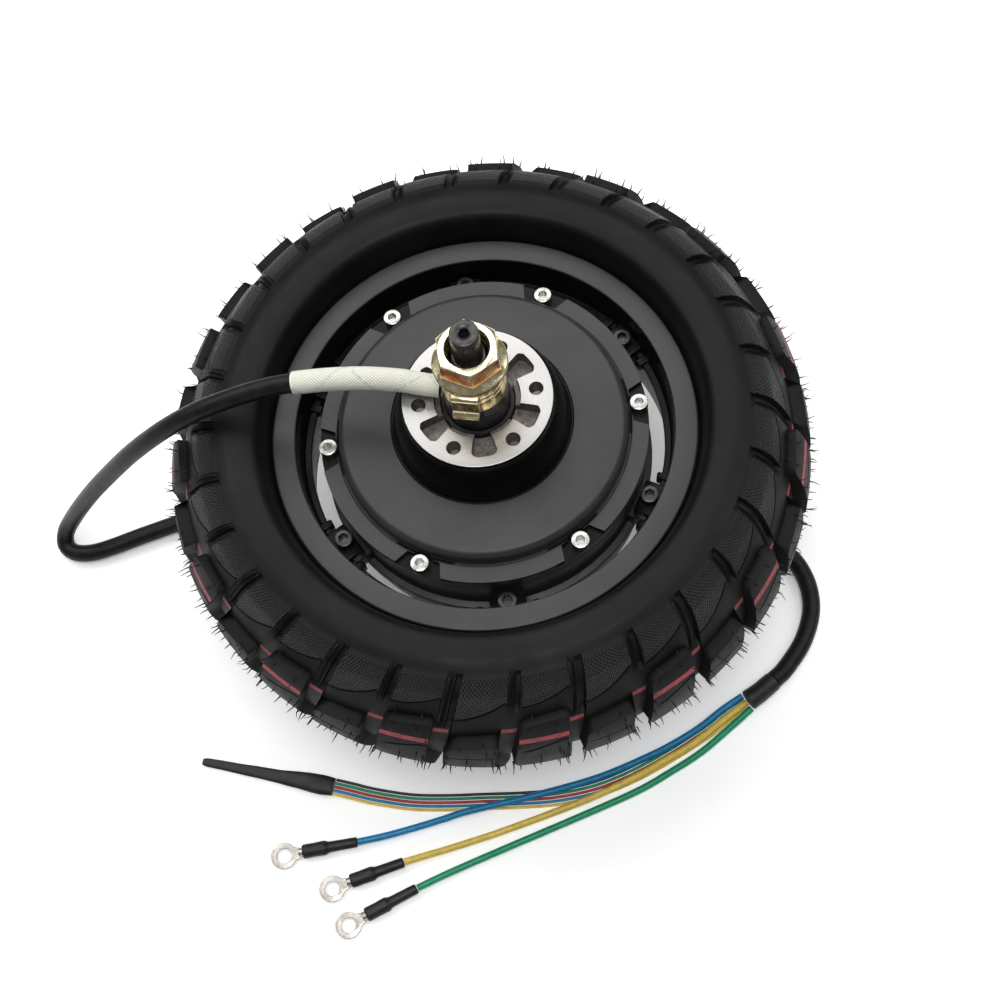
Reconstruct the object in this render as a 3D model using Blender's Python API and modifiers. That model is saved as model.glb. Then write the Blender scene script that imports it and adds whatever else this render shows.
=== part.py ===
"""Hub motor wheel: a 10 inch pneumatic scooter tyre on a cast rim, driven by the outrunner motor inside it.

Metres, +Z up. The origin is the wheel's centre: on the axle's axis, halfway across the tyre. +Z runs along
the axle, out of the side that carries the brake disc face and the cable. The wheel lies flat, held by its
axle, and its cable lies on the surface below it.
"""

import math

import bmesh
import bpy
from mathutils import Matrix, Vector

# ---------------------------------------------------------------- driving dimensions
MM = 0.001
GAP = 0.3 * MM  # between pieces that touch on the real wheel

TYRE_RADIUS = 126.6 * MM
TYRE_HALF_WIDTH = 36.5 * MM
CROWN_CENTRE_RADIUS = 95.0 * MM  # where the tyre is widest
TREAD_THICKNESS = 9.0 * MM
SIDEWALL_THICKNESS = 4.0 * MM

RIM_LIP_RADIUS = 82.2 * MM
RIM_FACE_Z = 23.2 * MM
RIM_FACE_INNER_RADIUS = 73.4 * MM
BEAD_SEAT_RADIUS = 76.2 * MM
LUG_BOLT_CIRCLE = 68.2 * MM
LUG_TOP_Z = 10.0 * MM
LUG_BOTTOM_Z = 3.3 * MM

VALVE_ANGLE = math.radians(120)
VALVE_Z = -7.0 * MM

MOTOR_RADIUS = 62.8 * MM
COVER_RADIUS = 63.6 * MM
COVER_LEDGE_Z = 22.2 * MM
COVER_STEP_RADIUS = 55.8 * MM
COVER_TOP_Z = 28.4 * MM
COVER_SCREW_CIRCLE = 60.4 * MM
SCREW_SEAT_Z = 20.6 * MM
BELL_BASE_RADIUS = 34.7 * MM

DISC_FACE_Z = 49.0 * MM
DISC_FACE_RADIUS = 28.3 * MM
DISC_FACE_BORE = 16.0 * MM
DISC_BOLT_CIRCLE = 22.0 * MM  # six M5 threads on 44 mm
DISC_THREAD_RADIUS = 2.5 * MM
DISC_POCKET_HALF_ANGLE = math.radians(12.3)
DISC_POCKET_FLOOR_Z = 42.8 * MM

STATOR_RADIUS = 51.0 * MM
STATOR_HALF_STACK = 15.0 * MM
SLOT_COUNT = 27
POLE_COUNT = 30

AXLE_BODY_RADIUS = 10.0 * MM
AXLE_SHOULDER_RADIUS = 12.0 * MM
AXLE_SHOULDER_Z = 60.2 * MM
THREAD_RADIUS = 7.0 * MM
THREAD_TOP_Z = 82.8 * MM  # inside the nut; the tip above it is turned down
TIP_RADIUS = 5.25 * MM
AXLE_TIP_Z = 99.5 * MM
REAR_TIP_Z = -74.7 * MM
NUT_FACE_WIDTH = 20.8 * MM
FLANGE_RADIUS = 13.65 * MM

SURFACE_Z = -75.0 * MM  # the surface that the cable lies on
CABLE_DIAMETER = 7.6 * MM
SLEEVE_DIAMETER = 8.8 * MM
PHASE_WIRE_DIAMETER = 2.9 * MM
HALL_WIRE_DIAMETER = 1.2 * MM

ROUND = 42  # sides of the large turned pieces
SMALL_ROUND = 20
DRILLED = 8  # sides of a drilled hole

SIX = [math.radians(60 * k) for k in range(6)]
SIX_BETWEEN = [angle + math.radians(30) for angle in SIX]
COVER_SCREW_ANGLES = SIX
LUG_ANGLES = SIX_BETWEEN

COLOURS = {
    "tyre_rubber": ((0.018, 0.018, 0.019), 0.75, 0.0),
    "black_casting": ((0.028, 0.027, 0.028), 0.50, 0.2),
    "bare_aluminium": ((0.62, 0.62, 0.60), 0.38, 1.0),
    "black_oxide": ((0.020, 0.020, 0.022), 0.40, 0.8),
    "yellow_zinc": ((0.72, 0.58, 0.24), 0.30, 1.0),
    "stainless": ((0.66, 0.65, 0.62), 0.25, 1.0),
    "bearing_steel": ((0.50, 0.50, 0.50), 0.20, 1.0),
    "cage_brass": ((0.55, 0.42, 0.20), 0.40, 1.0),
    "lamination": ((0.20, 0.21, 0.22), 0.45, 0.8),
    "copper_enamel": ((0.48, 0.16, 0.05), 0.35, 0.6),
    "magnet_nickel": ((0.45, 0.44, 0.42), 0.30, 1.0),
    "yoke_steel": ((0.30, 0.30, 0.30), 0.50, 1.0),
    "circuit_green": ((0.02, 0.12, 0.05), 0.45, 0.0),
    "seal_rubber": ((0.012, 0.012, 0.012), 0.60, 0.0),
    "cable_black": ((0.014, 0.014, 0.015), 0.30, 0.0),
    "sleeve_white": ((0.72, 0.72, 0.62), 0.70, 0.0),
    "heat_shrink": ((0.015, 0.015, 0.016), 0.45, 0.0),
    "wire_blue": ((0.010, 0.22, 0.50), 0.40, 0.0),
    "wire_yellow": ((0.66, 0.48, 0.06), 0.40, 0.0),
    "wire_green": ((0.005, 0.32, 0.14), 0.40, 0.0),
    "wire_red": ((0.50, 0.03, 0.03), 0.40, 0.0),
    "tinned_copper": ((0.60, 0.60, 0.58), 0.30, 1.0),
}


# ---------------------------------------------------------------- scene and collections
for leftover in list(bpy.data.objects):
    bpy.data.objects.remove(leftover)

parts = bpy.data.collections.new("hub_motor_wheel")
cutters = bpy.data.collections.new("cutters")
bpy.context.scene.collection.children.link(parts)
bpy.context.scene.collection.children.link(cutters)


def material(name):
    found = bpy.data.materials.get(name)
    if found:
        return found
    colour, roughness, metallic = COLOURS[name]
    made = bpy.data.materials.new(name)
    made.use_nodes = True
    made.diffuse_color = (*colour, 1.0)
    shader = made.node_tree.nodes["Principled BSDF"]
    shader.inputs["Base Color"].default_value = (*colour, 1.0)
    shader.inputs["Roughness"].default_value = roughness
    shader.inputs["Metallic"].default_value = metallic
    return made


def part(name, data, finish):
    """A visible piece, from a mesh or a curve."""
    obj = bpy.data.objects.new(name, data)
    parts.objects.link(obj)
    if not data.materials:
        data.materials.append(material(finish))
    return obj


def helper(name, data):
    """A cutter or an addition to a piece, left out of the model."""
    obj = bpy.data.objects.new(name, data)
    cutters.objects.link(obj)
    obj.hide_render = True
    obj.display_type = "WIRE"
    return obj


def boolean(obj, other, operation):
    modifier = obj.modifiers.new(operation.lower(), "BOOLEAN")
    modifier.object = other
    modifier.operation = operation
    modifier.solver = "EXACT"


def smooth(obj, degrees=35):
    obj.data.shade_smooth()
    obj.data.set_sharp_from_angle(angle=math.radians(degrees))


# ---------------------------------------------------------------- shape makers
def turned(name, profile, finish, steps=SMALL_ROUND, loop=True):
    """A turned piece. The profile's (radius, z) points run down its outer side; a loop stays off the axis."""
    mesh = bpy.data.meshes.new(name)
    edges = [(i, i + 1) for i in range(len(profile) - 1)]
    if loop:
        edges.append((len(profile) - 1, 0))
    mesh.from_pydata([(r, 0.0, z) for r, z in profile], edges, [])
    obj = part(name, mesh, finish) if finish else helper(name, mesh)
    screw = obj.modifiers.new("turn", "SCREW")
    screw.axis = "Z"
    screw.steps = steps
    screw.render_steps = steps
    screw.use_merge_vertices = True
    screw.merge_threshold = 0.00001
    screw.use_smooth_shade = False
    return obj


def ring(name, inner, outer, low, high, finish, steps=SMALL_ROUND):
    return turned(name, [(outer, high), (outer, low), (inner, low), (inner, high)], finish, steps)


def cylinders(name, places, radius, low, high, sides=16):
    """One helper of upright cylinders, at (x, y) places."""
    mesh = bpy.data.meshes.new(name)
    bm = bmesh.new()
    for x, y in places:
        middle = Matrix.Translation((x, y, (low + high) / 2))
        bmesh.ops.create_cone(bm, cap_ends=True, segments=sides, radius1=radius, radius2=radius,
                              depth=high - low, matrix=middle)
    bm.to_mesh(mesh)
    bm.free()
    return helper(name, mesh)


def blocks(name, places, size):
    """One helper of boxes, each centred at (radius, angle, z) and turned to face the axis."""
    mesh = bpy.data.meshes.new(name)
    bm = bmesh.new()
    for radius, angle, z in places:
        at = Matrix.Rotation(angle, 4, "Z") @ Matrix.Translation((radius, 0, z))
        bmesh.ops.create_cube(bm, size=1.0, matrix=at @ Matrix.Diagonal((*size, 1.0)))
    bm.to_mesh(mesh)
    bm.free()
    return helper(name, mesh)


def meshed(obj):
    """The evaluated object as one welded mesh; the object is removed."""
    bpy.context.view_layer.update()
    evaluated = obj.evaluated_get(bpy.context.evaluated_depsgraph_get())
    mesh = bpy.data.meshes.new_from_object(evaluated)
    mesh.name = obj.name
    mesh.transform(obj.matrix_world)
    bm = bmesh.new()
    bm.from_mesh(mesh)
    bmesh.ops.remove_doubles(bm, verts=bm.verts, dist=0.000001)
    bmesh.ops.recalc_face_normals(bm, faces=bm.faces)
    bm.to_mesh(mesh)
    bm.free()
    bpy.data.objects.remove(obj)
    return mesh


def plate_mesh(name, outline, low, high, holes=()):
    """A flat outline, with any holes, as a welded mesh between two heights."""
    curve = bpy.data.curves.new(name, "CURVE")
    curve.dimensions = "2D"
    curve.fill_mode = "BOTH"
    curve.extrude = (high - low) / 2
    for points in (outline, *holes):
        spline = curve.splines.new("POLY")
        spline.points.add(len(points) - 1)
        for point, (x, y) in zip(spline.points, points):
            point.co = (x, y, 0.0, 1.0)
        spline.use_cyclic_u = True
    obj = helper(name, curve)
    obj.location.z = (high + low) / 2
    return meshed(obj)


def polar(radius, angle):
    return radius * math.cos(angle), radius * math.sin(angle)


def arc(radius, start, end, count):
    """Points on a circle about the axis, from one angle to another."""
    return [polar(radius, start + (end - start) * i / (count - 1)) for i in range(count)]


def polygon(centre, radius, sides, turn=0.0):
    x, y = centre
    return [(x + px, y + py) for px, py in arc(radius, turn, turn + 2 * math.pi * (1 - 1 / sides), sides)]


def on_circle(radius, angles):
    return [polar(radius, angle) for angle in angles]


def smooth_route(points, spacing):
    """Points read every spacing or so from a smooth curve through the route's own points."""
    points = [Vector(p) for p in points]
    ends = [2 * points[0] - points[1], *points, 2 * points[-1] - points[-2]]
    read = []
    for before, start, end, after in zip(ends, ends[1:], ends[2:], ends[3:]):
        count = max(1, round((end - start).length / spacing))
        for i in range(count):
            t = i / count
            read.append(0.5 * (2 * start + (end - before) * t
                               + (2 * before - 5 * start + 4 * end - after) * t ** 2
                               + (3 * start - before - 3 * end + after) * t ** 3))
    return [*read, points[-1]]


def tube(name, route, diameter, finish, resolution=2, spacing=2.5):
    """A cord's plain round solid along a smooth route, with a point every few diameters."""
    curve = bpy.data.curves.new(name, "CURVE")
    curve.dimensions = "3D"
    curve.bevel_depth = diameter / 2
    curve.bevel_resolution = resolution
    curve.use_fill_caps = True
    read = smooth_route(route, spacing * diameter)
    spline = curve.splines.new("POLY")
    spline.points.add(len(read) - 1)
    for point, place in zip(spline.points, read):
        point.co = (*place, 1.0)
    return part(name, curve, finish)


# ---------------------------------------------------------------- tyre and rim
def tyre_outside(angle):
    """A point of the crown, an ellipse about the tyre's widest circle; angle 0 is the middle of the tread."""
    height = TYRE_RADIUS - CROWN_CENTRE_RADIUS
    return CROWN_CENTRE_RADIUS + height * math.cos(angle), TYRE_HALF_WIDTH * math.sin(angle)


def tyre_inside(angle):
    height = TYRE_RADIUS - TREAD_THICKNESS - CROWN_CENTRE_RADIUS
    width = TYRE_HALF_WIDTH - SIDEWALL_THICKNESS
    return CROWN_CENTRE_RADIUS + height * math.cos(angle), width * math.sin(angle)


def make_tyre():
    """A hollow casing, open between its beads, where the rim closes it."""
    crown = [tyre_outside(math.radians(a)) for a in (80, 54, 27, 0, -27, -54, -80)]
    upper = [(BEAD_SEAT_RADIUS + 1 * MM, 18.8 * MM), (83.0 * MM, 19.8 * MM), (86.0 * MM, 31.0 * MM)]
    lower = [(r, -z) for r, z in reversed(upper)]
    hollow = [tyre_inside(math.radians(a)) for a in (-60, -20, 20, 60)]
    bead_inside = (BEAD_SEAT_RADIUS + 1 * MM, 13.0 * MM)
    neck = (84.0 * MM, 16.0 * MM)
    inner = [(bead_inside[0], -bead_inside[1]), (neck[0], -neck[1]), *hollow, neck, bead_inside]
    turned("tyre", upper + crown + lower + inner, "tyre_rubber", ROUND)


def make_rim():
    """The cast rim: lips, bead seats, a shallow well, an inner ledge, and six lugs that carry the motor."""
    inner_wall = 72.4 * MM
    seat = BEAD_SEAT_RADIUS + 0.5 * MM
    well = BEAD_SEAT_RADIUS - 0.8 * MM
    outer = [(RIM_LIP_RADIUS - 0.6 * MM, RIM_FACE_Z), (RIM_LIP_RADIUS, RIM_FACE_Z - 0.6 * MM),
             (RIM_LIP_RADIUS, 20.3 * MM), (seat, 18.9 * MM), (seat, 12.0 * MM), (well, 10.0 * MM)]
    mirrored = [(r, -z) for r, z in reversed(outer)]
    ledge = inner_wall - 1.6 * MM
    ledge_top = 7.5 * MM
    inner = [(RIM_FACE_INNER_RADIUS, -RIM_FACE_Z), (inner_wall, LUG_BOTTOM_Z), (ledge, LUG_BOTTOM_Z),
             (ledge, ledge_top), (inner_wall, ledge_top), (RIM_FACE_INNER_RADIUS, RIM_FACE_Z)]
    rim = turned("rim", outer + mirrored + inner, "black_casting", ROUND)
    lug_height = LUG_TOP_Z - LUG_BOTTOM_Z
    lug_middle = (LUG_TOP_Z + LUG_BOTTOM_Z) / 2
    lug_size = (9.4 * MM, 14.0 * MM, lug_height)
    lugs = blocks("rim_lugs", [(69.0 * MM, a, lug_middle) for a in LUG_ANGLES], lug_size)
    boolean(rim, lugs, "UNION")
    bolt_places = on_circle(LUG_BOLT_CIRCLE, LUG_ANGLES)
    bolt_holes = cylinders("rim_lug_holes", bolt_places, 2.9 * MM, 0.0, 14 * MM, DRILLED)
    boolean(rim, bolt_holes, "DIFFERENCE")
    hole = blocks("valve_hole", [(74.0 * MM, VALVE_ANGLE, VALVE_Z)], (8 * MM, 6.6 * MM, 6.6 * MM))
    boolean(rim, hole, "DIFFERENCE")


def make_valve():
    """A bent tubeless valve stem: through the rim's well, then out towards the rear face."""
    across = Vector((math.cos(VALVE_ANGLE), math.sin(VALVE_ANGLE), 0.0))
    route = [(76.5, -7.0), (73.5, -7.0), (70.5, -7.8), (68.4, -9.8), (67.6, -12.8), (67.4, -18.0),
             (67.4, -27.0)]
    places = [across * (r * MM) + Vector((0, 0, z * MM)) for r, z in route]
    tube("valve_stem", places, 5.0 * MM, "seal_rubber", resolution=2, spacing=0.8)


# ---------------------------------------------------------------- motor housing
def make_front_cover():
    """The cover that turns with the wheel: ledge, raised disc, bell and machined brake disc face."""
    profile = [
        (DISC_FACE_RADIUS - 0.4 * MM, DISC_FACE_Z), (DISC_FACE_RADIUS, DISC_FACE_Z - 0.4 * MM),
        (DISC_FACE_RADIUS, 47.6 * MM), (29.2 * MM, 47.2 * MM), (32.4 * MM, 39.0 * MM),
        (BELL_BASE_RADIUS, 30.6 * MM), (53.8 * MM, COVER_TOP_Z), (COVER_STEP_RADIUS, 26.4 * MM),
        (COVER_STEP_RADIUS + 0.4 * MM, COVER_LEDGE_Z), (COVER_RADIUS, COVER_LEDGE_Z),
        (COVER_RADIUS, 18.3 * MM), (57.2 * MM, 18.3 * MM), (57.2 * MM, 16.8 * MM), (53.0 * MM, 23.6 * MM),
        (22.0 * MM, 27.2 * MM), (18.8 * MM, 30.7 * MM), (18.8 * MM, 40.4 * MM), (14.0 * MM, 40.4 * MM),
        (14.0 * MM, 46.8 * MM), (DISC_FACE_BORE, 46.8 * MM),
        (DISC_FACE_BORE, DISC_FACE_Z),
    ]
    cover = turned("front_cover", profile, "black_casting", ROUND)
    thread_places = on_circle(DISC_BOLT_CIRCLE, SIX)
    threads = cylinders("disc_threads", thread_places, DISC_THREAD_RADIUS, 44 * MM, 52 * MM, DRILLED)
    boolean(cover, threads, "DIFFERENCE")
    half = DISC_POCKET_HALF_ANGLE
    for index, middle in enumerate(SIX_BETWEEN):
        outline = [
            *arc(12.9 * MM, middle + half, middle - half, 3), polar(22.9 * MM, middle - half),
            *arc(24.3 * MM, middle - 0.72 * half, middle + 0.72 * half, 4), polar(22.9 * MM, middle + half),
        ]
        name = f"disc_pocket_{index}"
        pocket = helper(name, plate_mesh(name, outline, DISC_POCKET_FLOOR_Z, DISC_FACE_Z + 3 * MM))
        boolean(cover, pocket, "DIFFERENCE")
    screw_places = on_circle(COVER_SCREW_CIRCLE, COVER_SCREW_ANGLES)
    wells = cylinders("screw_wells", screw_places, 5.0 * MM, SCREW_SEAT_Z, 32 * MM, 12)
    boolean(cover, wells, "DIFFERENCE")
    mouths = blocks("screw_mouths", [(63.0 * MM, a, 26.4 * MM) for a in COVER_SCREW_ANGLES],
                    (6.0 * MM, 9.6 * MM, 11.2 * MM))
    boolean(cover, mouths, "DIFFERENCE")
    holes = cylinders("screw_holes", screw_places, 2.3 * MM, 14 * MM, 24 * MM, DRILLED)
    boolean(cover, holes, "DIFFERENCE")


def make_motor_casing():
    """The drum behind the cover, with its rear wall, bearing boss, six ribs and six ears for the lugs."""
    profile = [
        (MOTOR_RADIUS, 18.0 * MM), (MOTOR_RADIUS, -22.0 * MM), (MOTOR_RADIUS - 3.0 * MM, -25.0 * MM),
        (24.0 * MM, -26.0 * MM), (22.0 * MM, -36.5 * MM), (13.2 * MM, -36.5 * MM), (13.2 * MM, -33.6 * MM),
        (17.7 * MM, -33.6 * MM), (17.7 * MM, -22.0 * MM), (52.0 * MM, -21.6 * MM), (57.8 * MM, -18.0 * MM),
        (57.8 * MM, 18.0 * MM),
    ]
    casing = turned("motor_casing", profile, "black_casting", ROUND)
    ears = blocks("casing_ears", [(66.5 * MM, a, -1.0 * MM) for a in LUG_ANGLES],
                  (10.0 * MM, 14.0 * MM, 8.0 * MM))
    boolean(casing, ears, "UNION")
    ribs = blocks("casing_ribs", [(41.0 * MM, a, -26.6 * MM) for a in SIX], (37.0 * MM, 4.0 * MM, 3.0 * MM))
    boolean(casing, ribs, "UNION")
    ear_places = on_circle(LUG_BOLT_CIRCLE, LUG_ANGLES)
    ear_holes = cylinders("casing_ear_holes", ear_places, 2.7 * MM, -8 * MM, 6 * MM, DRILLED)
    boolean(casing, ear_holes, "DIFFERENCE")
    screw_places = on_circle(COVER_SCREW_CIRCLE, COVER_SCREW_ANGLES)
    screw_holes = cylinders("casing_screw_holes", screw_places, 1.95 * MM, 8 * MM, 22 * MM, DRILLED)
    boolean(casing, screw_holes, "DIFFERENCE")


def socket_screw_mesh(name, head_radius, head_height, shank_radius, shank_length, socket_radius):
    """A socket head cap screw, its head standing on z = 0."""
    sides = 12
    profile = [(0.0, head_height), (head_radius, head_height), (head_radius, 0.0), (shank_radius, 0.0),
               (shank_radius, -shank_length), (0.0, -shank_length)]
    screw = turned(name, profile, "stainless", sides, loop=False)
    outline = polygon((0.0, 0.0), socket_radius, 6)
    depth = 0.6 * head_height
    tool = plate_mesh(name + "_socket", outline, head_height - depth, head_height + depth)
    socket = helper(name + "_socket", tool)
    boolean(screw, socket, "DIFFERENCE")
    mesh = meshed(screw)
    bpy.data.objects.remove(socket)
    return mesh


def make_fasteners():
    cap_screw = socket_screw_mesh("cap_screw", 3.45 * MM, 3.8 * MM, 1.6 * MM, 10.0 * MM, 1.75 * MM)
    for number, angle in enumerate(COVER_SCREW_ANGLES, 1):
        screw = part(f"cover_screw_{number}", cap_screw, "stainless")
        screw.location = (*polar(COVER_SCREW_CIRCLE, angle), SCREW_SEAT_Z + GAP)
        screw.rotation_euler.z = angle + math.radians(15 * number)
    rim_bolt = socket_screw_mesh("rim_bolt", 3.5 * MM, 4.0 * MM, 2.1 * MM, 14.0 * MM, 1.8 * MM)
    rim_bolt.materials.clear()
    rim_bolt.materials.append(material("black_oxide"))
    for number, angle in enumerate(LUG_ANGLES, 1):
        bolt = part(f"rim_bolt_{number}", rim_bolt, "black_oxide")
        bolt.location = (*polar(LUG_BOLT_CIRCLE, angle), LUG_TOP_Z + GAP)
        bolt.rotation_euler.z = angle + math.radians(20 * number)


# ---------------------------------------------------------------- rotor and stator
def make_rotor():
    ring("rotor_yoke", 54.5 * MM, 57.4 * MM, -17.0 * MM, 16.4 * MM, "yoke_steel", ROUND)
    ring("magnet_ring", 51.9 * MM, 54.1 * MM, -16.0 * MM, 16.0 * MM, "magnet_nickel", POLE_COUNT)


def make_stator():
    """Laminations with open slots, a squirrel-cage-like body for the windings, and the spider on the axle."""
    pitch = 2 * math.pi / SLOT_COUNT
    tooth = 0.28 * pitch
    shoe = 0.42 * pitch
    outline = []
    for index in range(SLOT_COUNT):
        middle = index * pitch
        outline += [polar(35.5 * MM, middle - tooth), polar(48.6 * MM, middle - 0.8 * tooth)]
        outline += [polar(STATOR_RADIUS, middle - shoe), polar(STATOR_RADIUS, middle + shoe)]
        outline += [polar(48.6 * MM, middle + 0.8 * tooth), polar(35.5 * MM, middle + tooth)]
    bore = polygon((0.0, 0.0), 30.2 * MM, 27)
    core = plate_mesh("stator_core", outline, -STATOR_HALF_STACK, STATOR_HALF_STACK, [bore])
    part("stator_core", core, "lamination")

    inside, outside, top = 36.0 * MM, 47.8 * MM, 20.8 * MM
    end_turns = ring("windings", inside, outside, STATOR_HALF_STACK + GAP, top, "copper_enamel", SLOT_COUNT)
    lower = ring("lower_end_turns", inside, outside, -top, -STATOR_HALF_STACK - GAP, None, SLOT_COUNT)
    boolean(end_turns, lower, "UNION")
    bars = blocks("slot_bars", [(42.2 * MM, (i + 0.5) * pitch, 0.0) for i in range(SLOT_COUNT)],
                  (10.0 * MM, 2.6 * MM, 2 * STATOR_HALF_STACK + 4 * MM))
    boolean(end_turns, bars, "UNION")

    spider = turned("stator_hub", [(29.9 * MM, 14.5 * MM), (29.9 * MM, -14.5 * MM), (26.5 * MM, -14.5 * MM),
                                   (26.5 * MM, -4.0 * MM), (16.0 * MM, -4.0 * MM), (16.0 * MM, -17.5 * MM),
                                   (10.3 * MM, -17.5 * MM), (10.3 * MM, 19.0 * MM), (16.0 * MM, 19.0 * MM),
                                   (16.0 * MM, 4.0 * MM), (26.5 * MM, 4.0 * MM), (26.5 * MM, 14.5 * MM)],
                    "bare_aluminium")
    windows = cylinders("spider_windows", on_circle(21.2 * MM, SIX), 3.8 * MM, -6 * MM, 6 * MM, DRILLED)
    boolean(spider, windows, "DIFFERENCE")

    start, end = math.radians(-55), math.radians(55)
    board = [*arc(45.5 * MM, start, end, 13), *arc(37.0 * MM, end, start, 13)]
    part("hall_board", plate_mesh("hall_board", board, 21.1 * MM, 22.5 * MM), "circuit_green")


def make_bearing(name, bore, inner_outside, outer_inside, outside, low, high, ball_radius, ball_count):
    """Two races, and the balls joined to their cage, which turns at its own speed between them."""
    ring(f"{name}_inner_race", bore, inner_outside, low, high, "bearing_steel")
    ring(f"{name}_outer_race", outer_inside, outside, low, high, "bearing_steel")
    middle_radius = (inner_outside + outer_inside) / 2
    middle = (low + high) / 2
    cage = ring(f"{name}_cage", middle_radius - 0.9 * MM, middle_radius + 0.9 * MM,
                middle - 1.1 * MM, middle + 1.1 * MM, "cage_brass", ball_count)
    mesh = bpy.data.meshes.new(f"{name}_balls")
    bm = bmesh.new()
    for k in range(ball_count):
        x, y = on_circle(middle_radius, [2 * math.pi * k / ball_count])[0]
        bmesh.ops.create_uvsphere(bm, u_segments=6, v_segments=4, radius=ball_radius,
                                  matrix=Matrix.Translation((x, y, middle)))
    bm.to_mesh(mesh)
    bm.free()
    boolean(cage, helper(f"{name}_balls", mesh), "UNION")


def make_bearings_and_seals():
    make_bearing("front_bearing", 10.3 * MM, 11.5 * MM, 16.5 * MM, 18.5 * MM, 31.0 * MM, 40.0 * MM,
                 2.1 * MM, 9)
    make_bearing("rear_bearing", 7.8 * MM, 9.4 * MM, 15.4 * MM, 17.4 * MM, -33.2 * MM, -22.4 * MM,
                 2.6 * MM, 8)
    ring("front_seal", 12.4 * MM, 13.7 * MM, 41.2 * MM, 45.6 * MM, "seal_rubber")
    ring("rear_seal", 11.6 * MM, 12.9 * MM, -36.4 * MM, -33.9 * MM, "seal_rubber")


# ---------------------------------------------------------------- axle and its hardware
CABLE_EXIT_ANGLE = math.radians(165)
CABLE_EXIT_Z = 55.0 * MM


def make_axle():
    """The fixed axle: shoulder, bearing seats, two threads with flats, and a bore for the cable."""
    profile = [
        (0.0, AXLE_TIP_Z), (TIP_RADIUS - 0.6 * MM, AXLE_TIP_Z), (TIP_RADIUS, AXLE_TIP_Z - 0.6 * MM),
        (TIP_RADIUS, THREAD_TOP_Z), (THREAD_RADIUS - 0.8 * MM, THREAD_TOP_Z - 0.4 * MM),
        (THREAD_RADIUS, THREAD_TOP_Z - 1.2 * MM), (THREAD_RADIUS, AXLE_SHOULDER_Z),
        (AXLE_SHOULDER_RADIUS - 0.5 * MM, AXLE_SHOULDER_Z),
        (AXLE_SHOULDER_RADIUS, AXLE_SHOULDER_Z - 0.5 * MM),
        (AXLE_SHOULDER_RADIUS, 40.4 * MM), (AXLE_BODY_RADIUS, 40.4 * MM), (AXLE_BODY_RADIUS, -22.0 * MM),
        (7.5 * MM, -22.0 * MM), (7.5 * MM, -36.0 * MM), (THREAD_RADIUS, -36.5 * MM),
        (THREAD_RADIUS, REAR_TIP_Z + 1 * MM), (THREAD_RADIUS - 1 * MM, REAR_TIP_Z), (0.0, REAR_TIP_Z),
    ]
    axle = turned("axle", profile, "black_oxide", loop=False)
    flat_places = [(THREAD_RADIUS + 3.2 * MM, a, z) for a in (0.0, math.pi) for z in (74.6 * MM, -60.0 * MM)]
    flats = blocks("axle_flats", flat_places, (8.0 * MM, 20 * MM, 28.0 * MM))
    boolean(axle, flats, "DIFFERENCE")
    centre_hole = cylinders("centre_hole", [(0.0, 0.0)], 1.9 * MM, 92 * MM, 104 * MM, DRILLED)
    boolean(axle, centre_hole, "DIFFERENCE")
    mesh = bpy.data.meshes.new("cable_bore")
    bm = bmesh.new()
    outwards = Matrix.Rotation(CABLE_EXIT_ANGLE, 4, "Z") @ Matrix.Rotation(math.pi / 2, 4, "Y")
    depth = 16 * MM
    mouth = Matrix.Translation((0, 0, CABLE_EXIT_Z)) @ outwards @ Matrix.Translation((0, 0, depth / 2))
    bmesh.ops.create_cone(bm, cap_ends=True, segments=12, radius1=4.5 * MM, radius2=4.5 * MM, depth=depth,
                          matrix=mouth)
    bm.to_mesh(mesh)
    bm.free()
    boolean(axle, helper("cable_bore", mesh), "DIFFERENCE")
    axle_bore = cylinders("axle_bore", [(0.0, 0.0)], 4.2 * MM, 24.0 * MM, CABLE_EXIT_Z, 12)
    boolean(axle, axle_bore, "DIFFERENCE")
    window = blocks("axle_window", [(8.0 * MM, 0.0, 25.6 * MM)], (16 * MM, 6.6 * MM, 6.8 * MM))
    boolean(axle, window, "DIFFERENCE")


def flange_nut_mesh():
    """An M14 flange nut standing on z = 0, its flange down."""
    corner = NUT_FACE_WIDTH / math.sqrt(3)
    height = 11.6 * MM
    profile = [(0.0, 2.6 * MM), (corner, 2.6 * MM), (FLANGE_RADIUS, 1.4 * MM), (FLANGE_RADIUS, 0.0),
               (0.0, 0.0)]
    body = turned("nut", profile, "yellow_zinc", loop=False)
    outline = polygon((0.0, 0.0), corner, 6, math.pi / 6)
    hexagon = helper("nut_hexagon", plate_mesh("nut_hexagon", outline, 1.6 * MM, height))
    boolean(body, hexagon, "UNION")
    above, below = height + 0.2 * MM, height - 3.2 * MM
    chamfer = [(20 * MM, above), (20 * MM, below), (16.0 * MM, below), (9.6 * MM, above)]
    cone = turned("nut_chamfer", chamfer, None)
    boolean(body, cone, "DIFFERENCE")
    bore = cylinders("nut_bore", [(0.0, 0.0)], THREAD_RADIUS + GAP, -1 * MM, 14 * MM, 24)
    boolean(body, bore, "DIFFERENCE")
    mesh = meshed(body)
    for tool in (hexagon, cone, bore):
        bpy.data.objects.remove(tool)
    return mesh


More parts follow.
